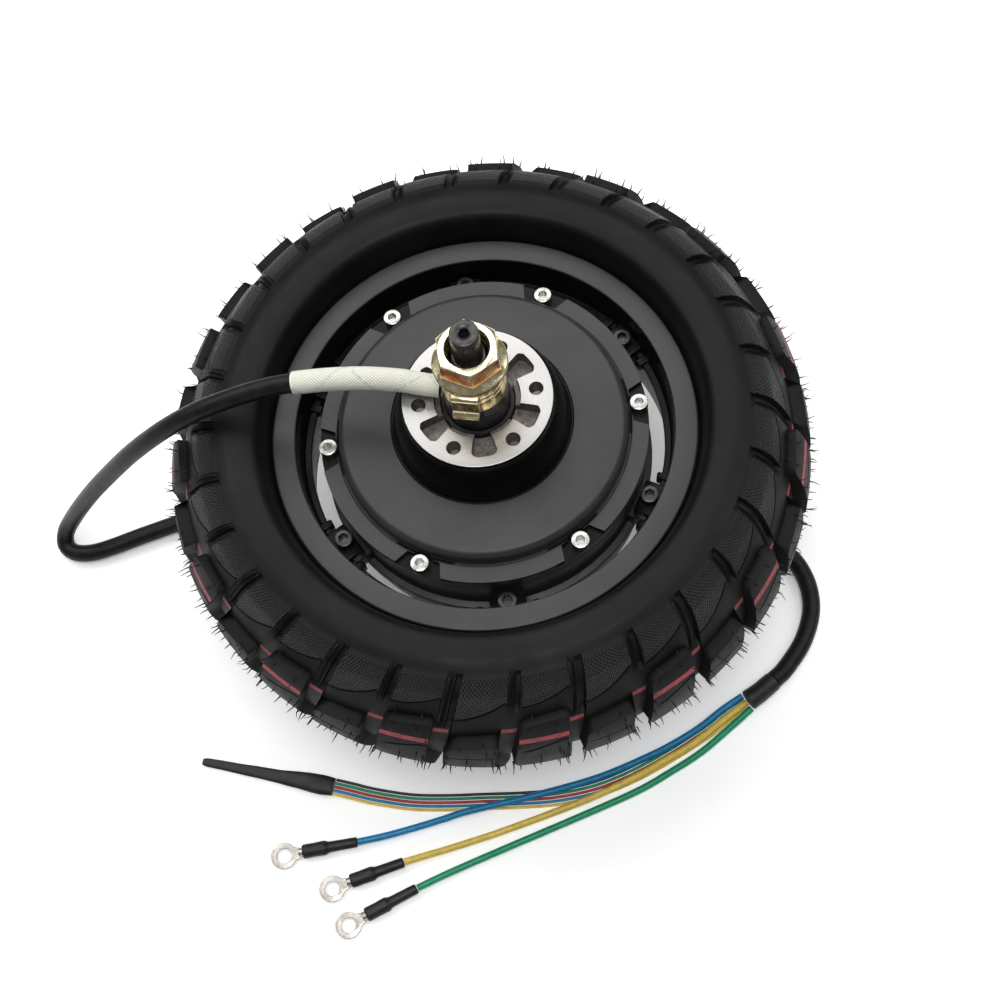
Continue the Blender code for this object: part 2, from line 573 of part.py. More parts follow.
def tab_washer_mesh(name, tab_drop):
    """An anti-rotation washer lying on z = 0, its hooked tab bent down at -Y."""
    thickness = 2.4 * MM
    half_tab = 4.75 * MM
    outline = [*arc(11.95 * MM, math.radians(-66), math.radians(246), 20), (-half_tab, -14.6 * MM),
               (half_tab, -14.6 * MM)]
    bore = polygon((0.0, 0.0), THREAD_RADIUS + GAP, 24)
    washer = part(name, plate_mesh(name, outline, 0.0, thickness, [bore]), "yellow_zinc")
    tab_size = (2.2 * MM, 2 * half_tab, tab_drop)
    tab = blocks(name + "_tab", [(14.2 * MM, -math.pi / 2, thickness - tab_drop / 2)], tab_size)
    boolean(washer, tab, "UNION")
    lip = blocks(name + "_lip", [(14.9 * MM, -math.pi / 2, thickness - tab_drop + 1.1 * MM)],
                 (3.6 * MM, 2 * half_tab, 2.2 * MM))
    boolean(washer, lip, "UNION")
    mesh = meshed(washer)
    for tool in ("_tab", "_lip"):
        bpy.data.objects.remove(bpy.data.objects[name + tool])
    return mesh


def make_axle_hardware():
    bore = THREAD_RADIUS + GAP
    ring("front_spacer", bore, 11.9 * MM, AXLE_SHOULDER_Z + GAP, 67.6 * MM, "yellow_zinc")
    ring("front_washer_inner", bore, 11.9 * MM, 67.9 * MM, 70.8 * MM, "yellow_zinc")
    ring("front_washer_outer", bore, 11.9 * MM, 71.1 * MM, 73.9 * MM, "yellow_zinc")
    nut = flange_nut_mesh()
    front_tab = part("front_tab_washer", tab_washer_mesh("front_tab", 13.0 * MM), "yellow_zinc")
    front_tab.location.z = 74.2 * MM
    front_tab.rotation_euler.z = math.radians(-15)
    front_nut = part("front_nut", nut, "yellow_zinc")
    front_nut.location.z = 76.9 * MM

    ring("rear_spacer", bore + 0.4 * MM, 11.0 * MM, -43.8 * MM, -33.6 * MM, "black_oxide")
    rear_tab = part("rear_tab_washer", tab_washer_mesh("rear_tab", 9.0 * MM), "yellow_zinc")
    rear_tab.rotation_euler = (math.pi, 0.0, math.radians(180))
    rear_tab.location.z = -44.1 * MM
    ring("rear_washer", bore, 11.9 * MM, -49.5 * MM, -46.8 * MM, "yellow_zinc")
    rear_nut = part("rear_nut", nut, "yellow_zinc")
    rear_nut.rotation_euler.x = math.pi
    rear_nut.location.z = -49.8 * MM


# ---------------------------------------------------------------- cable, wires and their ends
LIE = SURFACE_Z + 0.1 * MM

SLEEVE_ROUTE = [(-12.6, 3.4, 55.0), (-20.0, 5.6, 55.4), (-27.0, 7.8, 56.0), (-40.0, 10.7, 56.2),
                (-53.0, 13.0, 55.0), (-67.0, 14.8, 53.0)]
CABLE_ROUTE = [
    (-67.3, 14.9, 52.9), (-75.5, 15.4, 51.6), (-84.0, 15.4, 49.8), (-95.4, 14.8, 46.8),
    (-105.5, 14.3, 43.0), (-117.2, 14.0, 35.8), (-129.6, 14.2, 25.0), (-142.0, 15.3, 11.0),
    (-154.4, 17.2, -6.0), (-167.4, 19.4, -25.0), (-178.6, 21.0, -42.5), (-187.6, 21.6, -57.0),
    (-193.6, 19.9, -66.0), (-195.2, 15.6, -70.4), (-191.6, 11.6, -71.1), (-184.4, 10.2, -71.1),
    (-175.0, 11.4, -71.1), (-158.0, 15.4, -71.1), (-138.0, 19.0, -71.1), (-116.0, 18.0, -71.1),
    (-88.0, 8.0, -71.1), (-58.0, -10.0, -71.1), (-28.0, -26.0, -71.1), (6.0, -33.0, -71.1),
    (42.0, -33.0, -71.1), (78.0, -29.0, -71.1), (104.0, -30.0, -71.1), (118.4, -36.4, -71.1),
    (124.4, -48.0, -71.1), (124.6, -62.0, -71.1), (118.6, -75.6, -71.1), (109.0, -86.6, -70.8),
    (103.0, -91.2, -70.2),
]
COLLAR_ROUTE = [(102.1, -91.8, -70.0), (96.5, -95.4, -69.9), (91.2, -98.2, -69.9)]

# Each wire leaves the collar at its own place in the bundle, then settles on the surface.
BLUE_ROUTE = [(88.9, -95.8, -71.4), (80.0, -100.1, -71.8), (69.4, -106.2, -72.05), (58.0, -111.2, -72.05),
              (47.1, -115.0, -72.05), (25.4, -120.8, -72.05), (0.0, -124.4, -72.05), (-29.5, -127.2, -72.1),
              (-40.0, -128.8, -72.8), (-50.7, -130.4, -73.4), (-64.0, -132.3, -72.9), (-76.6, -133.4, -72.3)]
YELLOW_ROUTE = [(90.4, -98.6, -71.4), (80.0, -104.2, -71.8), (65.6, -112.4, -72.05), (54.0, -117.2, -72.05),
                (41.5, -122.2, -72.05), (24.0, -127.8, -72.05), (7.3, -131.8, -73.0), (-18.3, -137.3, -73.4),
                (-39.4, -141.0, -73.4), (-49.0, -142.5, -72.9), (-58.4, -144.1, -72.3)]
GREEN_ROUTE = [(91.8, -101.5, -71.4), (82.0, -107.8, -72.6), (68.4, -116.2, -73.4), (55.0, -122.4, -73.4),
               (40.0, -128.4, -73.4), (15.5, -135.4, -73.4), (-10.5, -142.4, -73.4), (-31.0, -148.0, -73.4),
               (-44.0, -151.8, -72.9), (-54.2, -155.2, -72.3)]
PHASES = {
    "blue": (BLUE_ROUTE, "wire_blue", (-99.8, -134.3)),
    "yellow": (YELLOW_ROUTE, "wire_yellow", (-82.2, -149.1)),
    "green": (GREEN_ROUTE, "wire_green", (-75.8, -163.0)),
}
BOOT_AXIS_Z = -72.3
BOOT_LENGTH = 22.8 * MM
RING_CENTRE = 7.9 * MM  # past the boot's end
RING_RADIUS = 5.3 * MM
RING_HOLE_RADIUS = 3.0 * MM
HALL_COLOURS = {"black": "cable_black", "green": "wire_green", "red": "wire_red", "blue": "wire_blue",
                "yellow": "wire_yellow"}
HALL_ROUTE = [(89.9, -97.7, -73.7), (80.0, -102.6, -74.0), (72.8, -106.9, -74.25), (56.0, -114.7, -74.25),
              (39.4, -121.0, -74.25), (23.4, -125.0, -74.25), (7.9, -126.2, -74.25), (-7.3, -125.4, -74.25),
              (-22.5, -123.8, -74.25), (-37.8, -122.2, -74.25), (-53.1, -119.8, -74.1), (-68.3, -115.4, -73.6),
              (-77.5, -111.9, -73.1), (-84.4, -109.3, -72.9)]
HALL_SPACING = 1.5
SHEATH_START = (-84.9, -109.2)
SHEATH_END = (-139.4, -90.5)


def metres(route):
    return [(x * MM, y * MM, z * MM) for x, y, z in route]


def make_cable():
    tube("cable_sleeve", metres(SLEEVE_ROUTE), SLEEVE_DIAMETER, "sleeve_white", 3, 1.2)
    tube("cable", metres(CABLE_ROUTE), CABLE_DIAMETER, "cable_black", 2, 2.5)
    tube("jacket_collar", metres(COLLAR_ROUTE), 9.8 * MM, "heat_shrink", 3, 1.0)
    leads = [(-9.8, 2.6, 54.9), (-4.6, 1.2, 54.6), (-1.2, 0.3, 51.4), (0.0, 0.0, 45.0), (0.0, 0.0, 33.0),
             (1.4, 0.0, 27.6), (6.0, 0.0, 25.0), (14.0, 0.0, 24.0), (24.0, 0.0, 23.6), (31.0, 0.0, 23.6)]
    tube("lead_bundle", metres(leads), 3.4 * MM, "seal_rubber", 2, 1.4)


def heading(start, end):
    return math.atan2(end[1] - start[1], end[0] - start[0])


def boot_mesh():
    """A heat-shrink boot along +X from x = 0: narrow on the wire, wide over the terminal's barrel."""
    length = BOOT_LENGTH
    profile = [(0.0, length), (2.3 * MM, length), (2.6 * MM, length - 1 * MM), (2.6 * MM, 9 * MM),
               (1.75 * MM, 6 * MM), (1.75 * MM, 0.0), (0.0, 0.0)]
    boot = turned("boot", profile, "heat_shrink", 10, loop=False)
    bore = cylinders("boot_bore", [(0.0, 0.0)], 2.05 * MM, length - 8 * MM, length + 2 * MM, 12)
    boolean(boot, bore, "DIFFERENCE")
    mesh = meshed(boot)
    bpy.data.objects.remove(bore)
    mesh.transform(Matrix.Rotation(math.pi / 2, 4, "Y"))
    return mesh


def terminal_mesh():
    """A ring terminal along +X: its barrel starts inside the boot and its ring lies past the boot's end."""
    neck = [(0.1, 1.6), (1.0, 2.4), (3.4, 2.6)]
    outer = arc(RING_RADIUS, math.radians(-148), math.radians(148), 12)
    outline = [(x * MM, -y * MM) for x, y in neck]
    outline += [(RING_CENTRE + x, y) for x, y in outer]
    outline += [(x * MM, y * MM) for x, y in reversed(neck)]
    hole = polygon((RING_CENTRE, 0.0), RING_HOLE_RADIUS, 16)
    plate = plate_mesh("terminal", outline, -1.8 * MM, -1.0 * MM, [hole])
    terminal = part("terminal", plate, "tinned_copper")
    barrel = cylinders("terminal_barrel", [(0.0, 0.0)], 1.75 * MM, -7.4 * MM, 1.0 * MM, 12)
    barrel.data.transform(Matrix.Rotation(math.pi / 2, 4, "Y"))
    boolean(terminal, barrel, "UNION")
    mesh = meshed(terminal)
    bpy.data.objects.remove(barrel)
    return mesh


def make_wires():
    boot = boot_mesh()
    terminal = terminal_mesh()
    for colour, (route, finish, boot_end) in PHASES.items():
        tube(f"phase_wire_{colour}", metres(route), PHASE_WIRE_DIAMETER, finish, 2, 3.6)
        turn = heading(route[-1], boot_end)
        ahead = Vector((math.cos(turn), math.sin(turn), 0.0))
        start = Vector((route[-1][0] * MM, route[-1][1] * MM, BOOT_AXIS_Z * MM)) + ahead * GAP
        sheath = part(f"phase_boot_{colour}", boot, "heat_shrink")
        sheath.location = start
        sheath.rotation_euler.z = turn
        lug = part(f"ring_terminal_{colour}", terminal, "tinned_copper")
        lug.location = start + ahead * (BOOT_LENGTH + GAP)
        lug.rotation_euler.z = turn
    for index, (colour, finish) in enumerate(HALL_COLOURS.items()):
        side = (index - 2) * HALL_SPACING
        route = []
        for k, (x, y, z) in enumerate(HALL_ROUTE):
            ahead = heading(HALL_ROUTE[max(k - 1, 0)], HALL_ROUTE[min(k + 1, len(HALL_ROUTE) - 1)])
            route.append((x - side * math.sin(ahead), y + side * math.cos(ahead), z))
        tube(f"hall_wire_{colour}", metres(route), HALL_WIRE_DIAMETER, finish, 2, 12)
    make_hall_sheath()


def make_hall_sheath():
    """A flat heat-shrink sheath over the hall connector: widest near its root, tapering to its tip."""
    length = math.dist(SHEATH_START, SHEATH_END)
    widths = [(0.0, 3.9), (5.0, 4.3), (10.0, 4.1), (24.0, 2.9), (42.0, 2.2), (length - 1.5, 1.8),
              (length, 1.2)]
    outline = [(x * MM, -w * MM) for x, w in widths] + [(x * MM, w * MM) for x, w in reversed(widths)]
    low, high = LIE, LIE + 3.6 * MM
    sheath = part("hall_sheath", plate_mesh("hall_sheath", outline, low, high), "heat_shrink")
    bevel = sheath.modifiers.new("round", "BEVEL")
    bevel.width = 0.9 * MM
    bevel.segments = 1
    bevel.limit_method = "ANGLE"
    sheath.rotation_euler.z = heading(SHEATH_START, SHEATH_END)
    sheath.location = (SHEATH_START[0] * MM, SHEATH_START[1] * MM, 0.0)


make_tyre()
make_rim()
make_valve()
make_front_cover()
make_motor_casing()
make_fasteners()
make_rotor()
make_stator()
make_bearings_and_seals()
make_axle()
make_axle_hardware()
make_cable()
make_wires()
for built in parts.objects:
    if built.type == "MESH" and built.data.polygons:
        smooth(built)
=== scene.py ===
"""Hub motor wheel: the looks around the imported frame.

Metres, +Z up, in the frame's own space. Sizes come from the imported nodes' boxes, and shapes are built in
millimetres and scaled once, when their mesh is made.
"""

import math

import bmesh
import bpy
import numpy as np
from mathutils import Matrix, Vector


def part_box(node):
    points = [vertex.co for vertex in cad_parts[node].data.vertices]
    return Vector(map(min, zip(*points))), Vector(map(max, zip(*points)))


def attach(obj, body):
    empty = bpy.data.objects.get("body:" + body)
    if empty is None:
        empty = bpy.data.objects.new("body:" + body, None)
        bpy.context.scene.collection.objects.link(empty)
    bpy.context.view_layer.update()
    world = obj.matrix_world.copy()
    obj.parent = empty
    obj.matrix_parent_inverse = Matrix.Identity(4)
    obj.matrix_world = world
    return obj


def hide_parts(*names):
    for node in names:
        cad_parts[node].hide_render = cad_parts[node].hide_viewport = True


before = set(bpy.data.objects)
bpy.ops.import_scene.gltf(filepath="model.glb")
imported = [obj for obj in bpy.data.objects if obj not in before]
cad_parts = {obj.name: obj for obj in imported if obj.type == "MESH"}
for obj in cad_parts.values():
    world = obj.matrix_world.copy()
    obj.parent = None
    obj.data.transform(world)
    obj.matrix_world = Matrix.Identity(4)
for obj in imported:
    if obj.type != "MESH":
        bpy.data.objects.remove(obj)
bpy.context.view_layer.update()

MM = 0.001


# ---------------------------------------------------------------- sizes read from the frame, in millimetres
def top(node):
    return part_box(node)[1].z / MM


def bottom(node):
    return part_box(node)[0].z / MM


def reach(node):
    """The outer radius of a turned node about the wheel's axis."""
    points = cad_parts[node].data.vertices
    return max(math.hypot(v.co.x, v.co.y) for v in points) / MM


TYRE_RADIUS = reach("tyre")
TYRE_HALF_WIDTH = top("tyre")
RIM_RADIUS = reach("rim")
RIM_FACE_Z = top("rim")
COVER_RADIUS = reach("front_cover")
DISC_FACE_Z = top("front_cover")
AXLE_TOP_Z = top("axle")
NUT_BASE_Z = bottom("front_nut")
SURFACE_Z = -75.0


# ---------------------------------------------------------------- camera, floor and light
def orbit(target, azimuth, elevation, distance):
    """A place on a sphere about the target, all in millimetres and degrees."""
    azimuth, elevation = math.radians(azimuth), math.radians(elevation)
    away = Vector((math.cos(elevation) * math.cos(azimuth), math.cos(elevation) * math.sin(azimuth),
                   math.sin(elevation)))
    return (Vector(target) + away * distance) * MM, away


def make_camera():
    place, away = orbit((1.9, -22.0, 0.0), -86.05, 67.73, 611.6)
    camera = bpy.data.objects.new("camera", bpy.data.cameras.new("camera"))
    bpy.context.scene.collection.objects.link(camera)
    camera.data.lens = 56.0
    camera.data.clip_start = 0.02
    camera.location = place
    turn = away.to_track_quat("Z", "Y").to_matrix().to_4x4()
    camera.rotation_euler = (turn @ Matrix.Rotation(math.radians(-11.92), 4, "Z")).to_euler()
    bpy.context.scene.camera = camera


def make_floor():
    size = 6.0
    mesh = bpy.data.meshes.new("floor")
    bm = bmesh.new()
    bmesh.ops.create_grid(bm, x_segments=1, y_segments=1, size=size)
    bm.to_mesh(mesh)
    bm.free()
    floor = bpy.data.objects.new("floor", mesh)
    floor.location.z = SURFACE_Z * MM
    bpy.context.scene.collection.objects.link(floor)
    paper = bpy.data.materials.new("floor_paper")
    paper.use_nodes = True
    shader = paper.node_tree.nodes["Principled BSDF"]
    shader.inputs["Base Color"].default_value = (0.96, 0.96, 0.96, 1.0)
    shader.inputs["Roughness"].default_value = 0.9
    shader.inputs["Specular IOR Level"].default_value = 0.1
    shader.inputs["Emission Color"].default_value = (1.0, 1.0, 1.0, 1.0)
    shader.inputs["Emission Strength"].default_value = 0.22
    mesh.materials.append(paper)


def softbox(name, azimuth, elevation, distance, size, power):
    place, away = orbit((0.0, 0.0, 0.0), azimuth, elevation, distance)
    light = bpy.data.lights.new(name, "AREA")
    light.shape = "RECTANGLE"
    light.size, light.size_y = size
    light.energy = power
    obj = bpy.data.objects.new(name, light)
    obj.location = place
    obj.rotation_euler = away.to_track_quat("Z", "Y").to_euler()
    bpy.context.scene.collection.objects.link(obj)


def make_light():
    world = bpy.data.worlds.new("studio")
    world.use_nodes = True
    background = world.node_tree.nodes["Background"]
    background.inputs["Color"].default_value = (1.0, 1.0, 1.0, 1.0)
    background.inputs["Strength"].default_value = 0.14
    bpy.context.scene.world = world
    softbox("top_box", -90, 80, 1800, (0.8, 0.8), 14)
    softbox("left_box", 165, 45, 1500, (0.8, 0.8), 5)
    softbox("right_box", 5, 45, 1600, (0.9, 0.9), 7)
    softbox("back_box", 96, 56, 1900, (2.4, 1.1), 25)
    bpy.context.scene.view_settings.view_transform = "Standard"


# ---------------------------------------------------------------- materials
class Nodes:
    """A short way to wire one Principled material."""

    def __init__(self, name, colour, roughness, metallic=0.0, **sockets):
        self.material = bpy.data.materials.new(name)
        self.material.use_nodes = True
        self.tree = self.material.node_tree
        self.shader = self.tree.nodes["Principled BSDF"]
        self.shader.inputs["Base Color"].default_value = (*colour, 1.0)
        self.shader.inputs["Roughness"].default_value = roughness
        self.shader.inputs["Metallic"].default_value = metallic
        for socket, value in sockets.items():
            self.shader.inputs[socket.replace("_", " ")].default_value = value
        self.colour = colour
        self.place = None

    def node(self, kind, inputs=(), **settings):
        made = self.tree.nodes.new("ShaderNode" + kind)
        for setting, value in settings.items():
            setattr(made, setting, value)
        for socket, value in dict(inputs).items():
            if isinstance(value, bpy.types.NodeSocket):
                self.tree.links.new(value, made.inputs[socket])
            else:
                made.inputs[socket].default_value = value
        return made

    def coordinates(self, scale=(1.0, 1.0, 1.0)):
        """Object coordinates in millimetres, stretched along the axes."""
        if self.place is None:
            self.place = self.node("TexCoord").outputs["Object"]
        stretched = [value / MM for value in scale]
        return self.node("Mapping", {"Vector": self.place, "Scale": stretched}).outputs[0]

    def noise(self, scale, detail=3.0, stretch=(1.0, 1.0, 1.0), roughness=0.55):
        """Noise with about that many cells a millimetre."""
        inputs = {"Vector": self.coordinates(stretch), "Scale": scale, "Detail": detail, "Roughness": roughness}
        return self.node("TexNoise", inputs).outputs["Fac"]

    def spread(self, value, low, high, to_low=0.0, to_high=1.0):
        inputs = {"Value": value, "From Min": low, "From Max": high, "To Min": to_low, "To Max": to_high}
        return self.node("MapRange", inputs).outputs[0]

    def maths(self, operation, *values):
        return self.node("Math", dict(enumerate(values)), operation=operation).outputs[0]

    def tint(self, factor, other, first=None):
        """Base colour between the material's own and another, by a factor from a texture."""
        mix = self.node("Mix", data_type="RGBA")
        self.tree.links.new(factor, mix.inputs[0])
        if first is None:
            mix.inputs[6].default_value = (*self.colour, 1.0)
        else:
            self.tree.links.new(first, mix.inputs[6])
        mix.inputs[7].default_value = (*other, 1.0)
        self.tree.links.new(mix.outputs[2], self.shader.inputs["Base Color"])
        return mix.outputs[2]

    def rough(self, factor, low, high):
        self.tree.links.new(self.spread(factor, 0.3, 0.7, low, high), self.shader.inputs["Roughness"])

    def bump(self, height, depth, strength=1.0):
        """Relief of about that many millimetres where the height goes from 0 to 1."""
        inputs = {"Height": height, "Distance": depth * MM, "Strength": strength}
        made = self.node("Bump", inputs)
        self.tree.links.new(made.outputs[0], self.shader.inputs["Normal"])


# ---------------------------------------------------------------- mesh helpers, in millimetres
def piece(name, mesh, body, *replaced):
    obj = bpy.data.objects.new(name, mesh)
    bpy.context.scene.collection.objects.link(obj)
    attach(obj, body)
    if replaced:
        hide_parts(*replaced)
    return obj


def sharpen(mesh, degrees=32):
    mesh.shade_smooth()
    mesh.set_sharp_from_angle(angle=math.radians(degrees))


def grid_mesh(name, points, materials, wrap_rows=True, wrap_columns=True):
    """A mesh over a grid of points, rows by columns, closed round either way."""
    rows, columns = points.shape[:2]
    index = np.arange(rows * columns).reshape(rows, columns)
    if wrap_rows:
        index = np.vstack([index, index[:1]])
    if wrap_columns:
        index = np.hstack([index, index[:, :1]])
    corners = [index[:-1, :-1], index[1:, :-1], index[1:, 1:], index[:-1, 1:]]
    faces = np.stack(corners, -1).reshape(-1, 4)
    mesh = bpy.data.meshes.new(name)
    mesh.vertices.add(rows * columns)
    mesh.vertices.foreach_set("co", (points.reshape(-1, 3) * MM).astype(np.float32).ravel())
    mesh.loops.add(faces.size)
    mesh.loops.foreach_set("vertex_index", faces.ravel().astype(np.int32))
    mesh.polygons.add(len(faces))
    mesh.polygons.foreach_set("loop_start", np.arange(0, faces.size, 4, dtype=np.int32))
    mesh.update(calc_edges=True)
    for material in materials:
        mesh.materials.append(material)
    return mesh


# ---------------------------------------------------------------- tyre
CROWN_CENTRE = 95.0  # the radius where the tyre is widest
REPEATS = 15  # of the tread pattern
CELL = 180.0 / REPEATS  # degrees: a repeat is a long-shouldered cell and a short one
LEAN = 0.057  # degrees round the wheel for each degree across the tread
TREAD_START = -92.0  # degrees: where the first cell's own angle is zero
BLOCK = (-0.8, 8.0)  # degrees along a cell
KNURL_TOP, TREAD_TOP, TREAD_EDGE = 73.6, 75.2, 78.0  # degrees across the tread
STRIPE_Z = (15.9, 18.1)


def crown(angle):
    """Radius, height and outward normal of the tyre's section at an angle across the tread; 0 is its middle."""
    high = TYRE_RADIUS - CROWN_CENTRE
    c, s = np.cos(np.radians(angle)), np.sin(np.radians(angle))
    normal_r, normal_z = c / high, s / TYRE_HALF_WIDTH
    size = np.hypot(normal_r, normal_z)
    return CROWN_CENTRE + high * c, TYRE_HALF_WIDTH * s, normal_r / size, normal_z / size


def shoulder_depth(angle):
    """How far the band between the shoulder lugs and the blocks lies below the crown."""
    t = np.clip((62.0 - angle) / 50.0, 0, 1)
    return 5.0 * (1 - (1 - t) ** 2)


def cell_lines(x, short):
    """The pattern's own lines at x degrees along a cell, as angles across the tread, from the middle out."""
    middle = sum(BLOCK) / 2
    along = np.clip(x, *BLOCK)
    corner = 2.4 * np.clip((np.abs(along - middle) - 3.1) / 1.3, 0, 1) ** 2
    slope = 0.35 * (along - middle)
    if short:
        wall = 22.6 + slope - corner
        sipe = 10.4 + 0 * x
        stripe = 14.0 + 0 * x
        arc = 42.3 + 16.0 * np.clip((along + 0.8) / 9.2, 0, 1) ** 1.6
        foot, stripe_width = 3.4, 2.0
    else:
        wall = 40.8 + slope - corner
        sipe = 17.0 + 1.25 * np.clip(along - 1.4, 0, 5.2)
        stripe = 25.8 + 0 * x
        arc = 52.0 + 10.0 * np.clip((along + 0.8) / 9.2, 0, 1) ** 1.8
        foot, stripe_width = 2.2, 3.9
    return np.stack([sipe, stripe, stripe + stripe_width, wall, wall + foot, arc], -1)


def section_lines(x, short):
    """The same lines, joined across the gap to the next cell's."""
    here = cell_lines(x, short)
    after = cell_lines(np.array([BLOCK[0]]), not short)
    share = np.clip((x - BLOCK[1]) / (CELL - BLOCK[1] + BLOCK[0]), 0, 1)[:, None]
    lines = here * (1 - share) + after * share
    gap = (share[:, 0] > 0) & (share[:, 0] < 1)
    lines[gap, 1:3] = (28.9, 33.0)  # the stripe lies deeper here, so further out across the section
    lines[gap, 3] = np.maximum(lines[gap, 3], 34.0)
    lines[gap, 4] = np.maximum(lines[gap, 4], 35.0)
    return lines


ROW_PLAN = (  # between each pair of lines, the shares at which a row lies
    (0.0, 0.35, 0.7, 0.93), (0.0, 0.12, 0.6), (0.0,), (0.0, 0.3, 0.65, 0.9), (0.0, 0.35, 0.7),
    (0.0, 0.07, 0.3, 0.55, 0.8, 0.955), (0.0, 0.045, 0.14, 0.3, 0.45, 0.6, 0.75, 0.9),
)


def half_section(x, short):
    """Angles across one half of the tread, a row for each share in ROW_PLAN, from its edge to its middle."""
    lines = section_lines(x, short)
    ends = np.full((len(x), 1), KNURL_TOP)
    lines = np.hstack([np.zeros((len(x), 1)), lines, ends])
    rows = []
    for k, shares in enumerate(ROW_PLAN):
        for share in shares:
            rows.append(lines[:, k] * (1 - share) + lines[:, k + 1] * share)
    for edge in (KNURL_TOP, TREAD_TOP, TREAD_EDGE):
        rows.append(np.full(len(x), edge))
    return np.array(rows)[::-1], lines


ROW_AT = np.cumsum([0] + [len(shares) for shares in ROW_PLAN])  # the row that lies on each line, from the middle
SIPE_ROW, STRIPE_ROW, STRIPE_END, WALL_ROW, FOOT_ROW, ARC_ROW, KNURL_ROW = ROW_AT[1:]


def half_height(x, short, angle):
    """Height above the crown, in millimetres, at each row and column of one half."""
    count = len(angle)
    row = (count - 1 - np.arange(count))[:, None]  # counted from the middle
    height = -shoulder_depth(angle)
    on_block = ((x > BLOCK[0]) & (x < BLOCK[1]))[None, :]
    wall_rows = FOOT_ROW - WALL_ROW
    rise = np.clip((FOOT_ROW - row) / wall_rows, 0, 1) ** 0.8
    height = np.where(on_block, height * (1 - rise), height)
    inner = (x > BLOCK[0] + 1.5) & (x < BLOCK[1] - 0.4)
    height = np.where((row == SIPE_ROW) & (inner | short)[None, :] & on_block, height - 0.9, height)
    height = np.where((row == FOOT_ROW) & on_block, height - 0.5, height)
    lug = ((x > BLOCK[0]) & (x < BLOCK[1] + 0.3))[None, :]
    height = np.where((row == ARC_ROW) & lug, height - 0.8, height)
    knurled = (row > ARC_ROW + 1) & (row <= KNURL_ROW) & lug
    height = np.where(knurled, height - 0.12, height)
    if short:
        shelf, deep, low, depths = (8.5, 9.7), (9.7, 10.85), 50.0, (0.7, 2.2)
    else:
        shelf, deep, low, depths = (8.3, 10.05), (10.05, 11.1), 34.0, (0.9, 2.4)
    fade = np.clip((angle - low) / 4.0, 0, 1) * np.clip((TREAD_TOP + 1.0 - angle) / 1.5, 0, 1)
    height = height - depths[0] * fade * ((x > shelf[0]) & (x < shelf[1]))[None, :]
    height = height - depths[1] * fade * ((x > deep[0]) & (x < deep[1]))[None, :]
    ribs = ((np.abs(x - 9.0) < 0.12) | (np.abs(x - 9.5) < 0.12))[None, :]
    height = height + 0.55 * fade * ribs
    return height - 0.7 * np.clip((angle - KNURL_TOP) / (TREAD_TOP - KNURL_TOP), 0, 1)


def sidewall():
    """From the tread's edge over the widest circle to the bead, as (radius, z)."""
    points = []
    for angle in (80.0, 83.0, 86.0, 90.0, 94.0, 98.0, 102.0):
        r, z, normal_r, normal_z = crown(angle)
        sink = 0.7 * max(0.0, (86.0 - angle) / 8.0)
        points.append((r - sink * normal_r, z - sink * normal_z))
    r, z = points[-1]
    curve = [(r - 1.6, z - 0.9), (r - 2.7, z - 2.6), (r - 3.5, z - 5.2), (84.2, 27.5), (83.6, 24.6), (83.2, 22.0)]
    return points + curve + [(83.0, 20.2), (82.6, 19.7), (81.6, 19.5), (77.6, 18.9)]


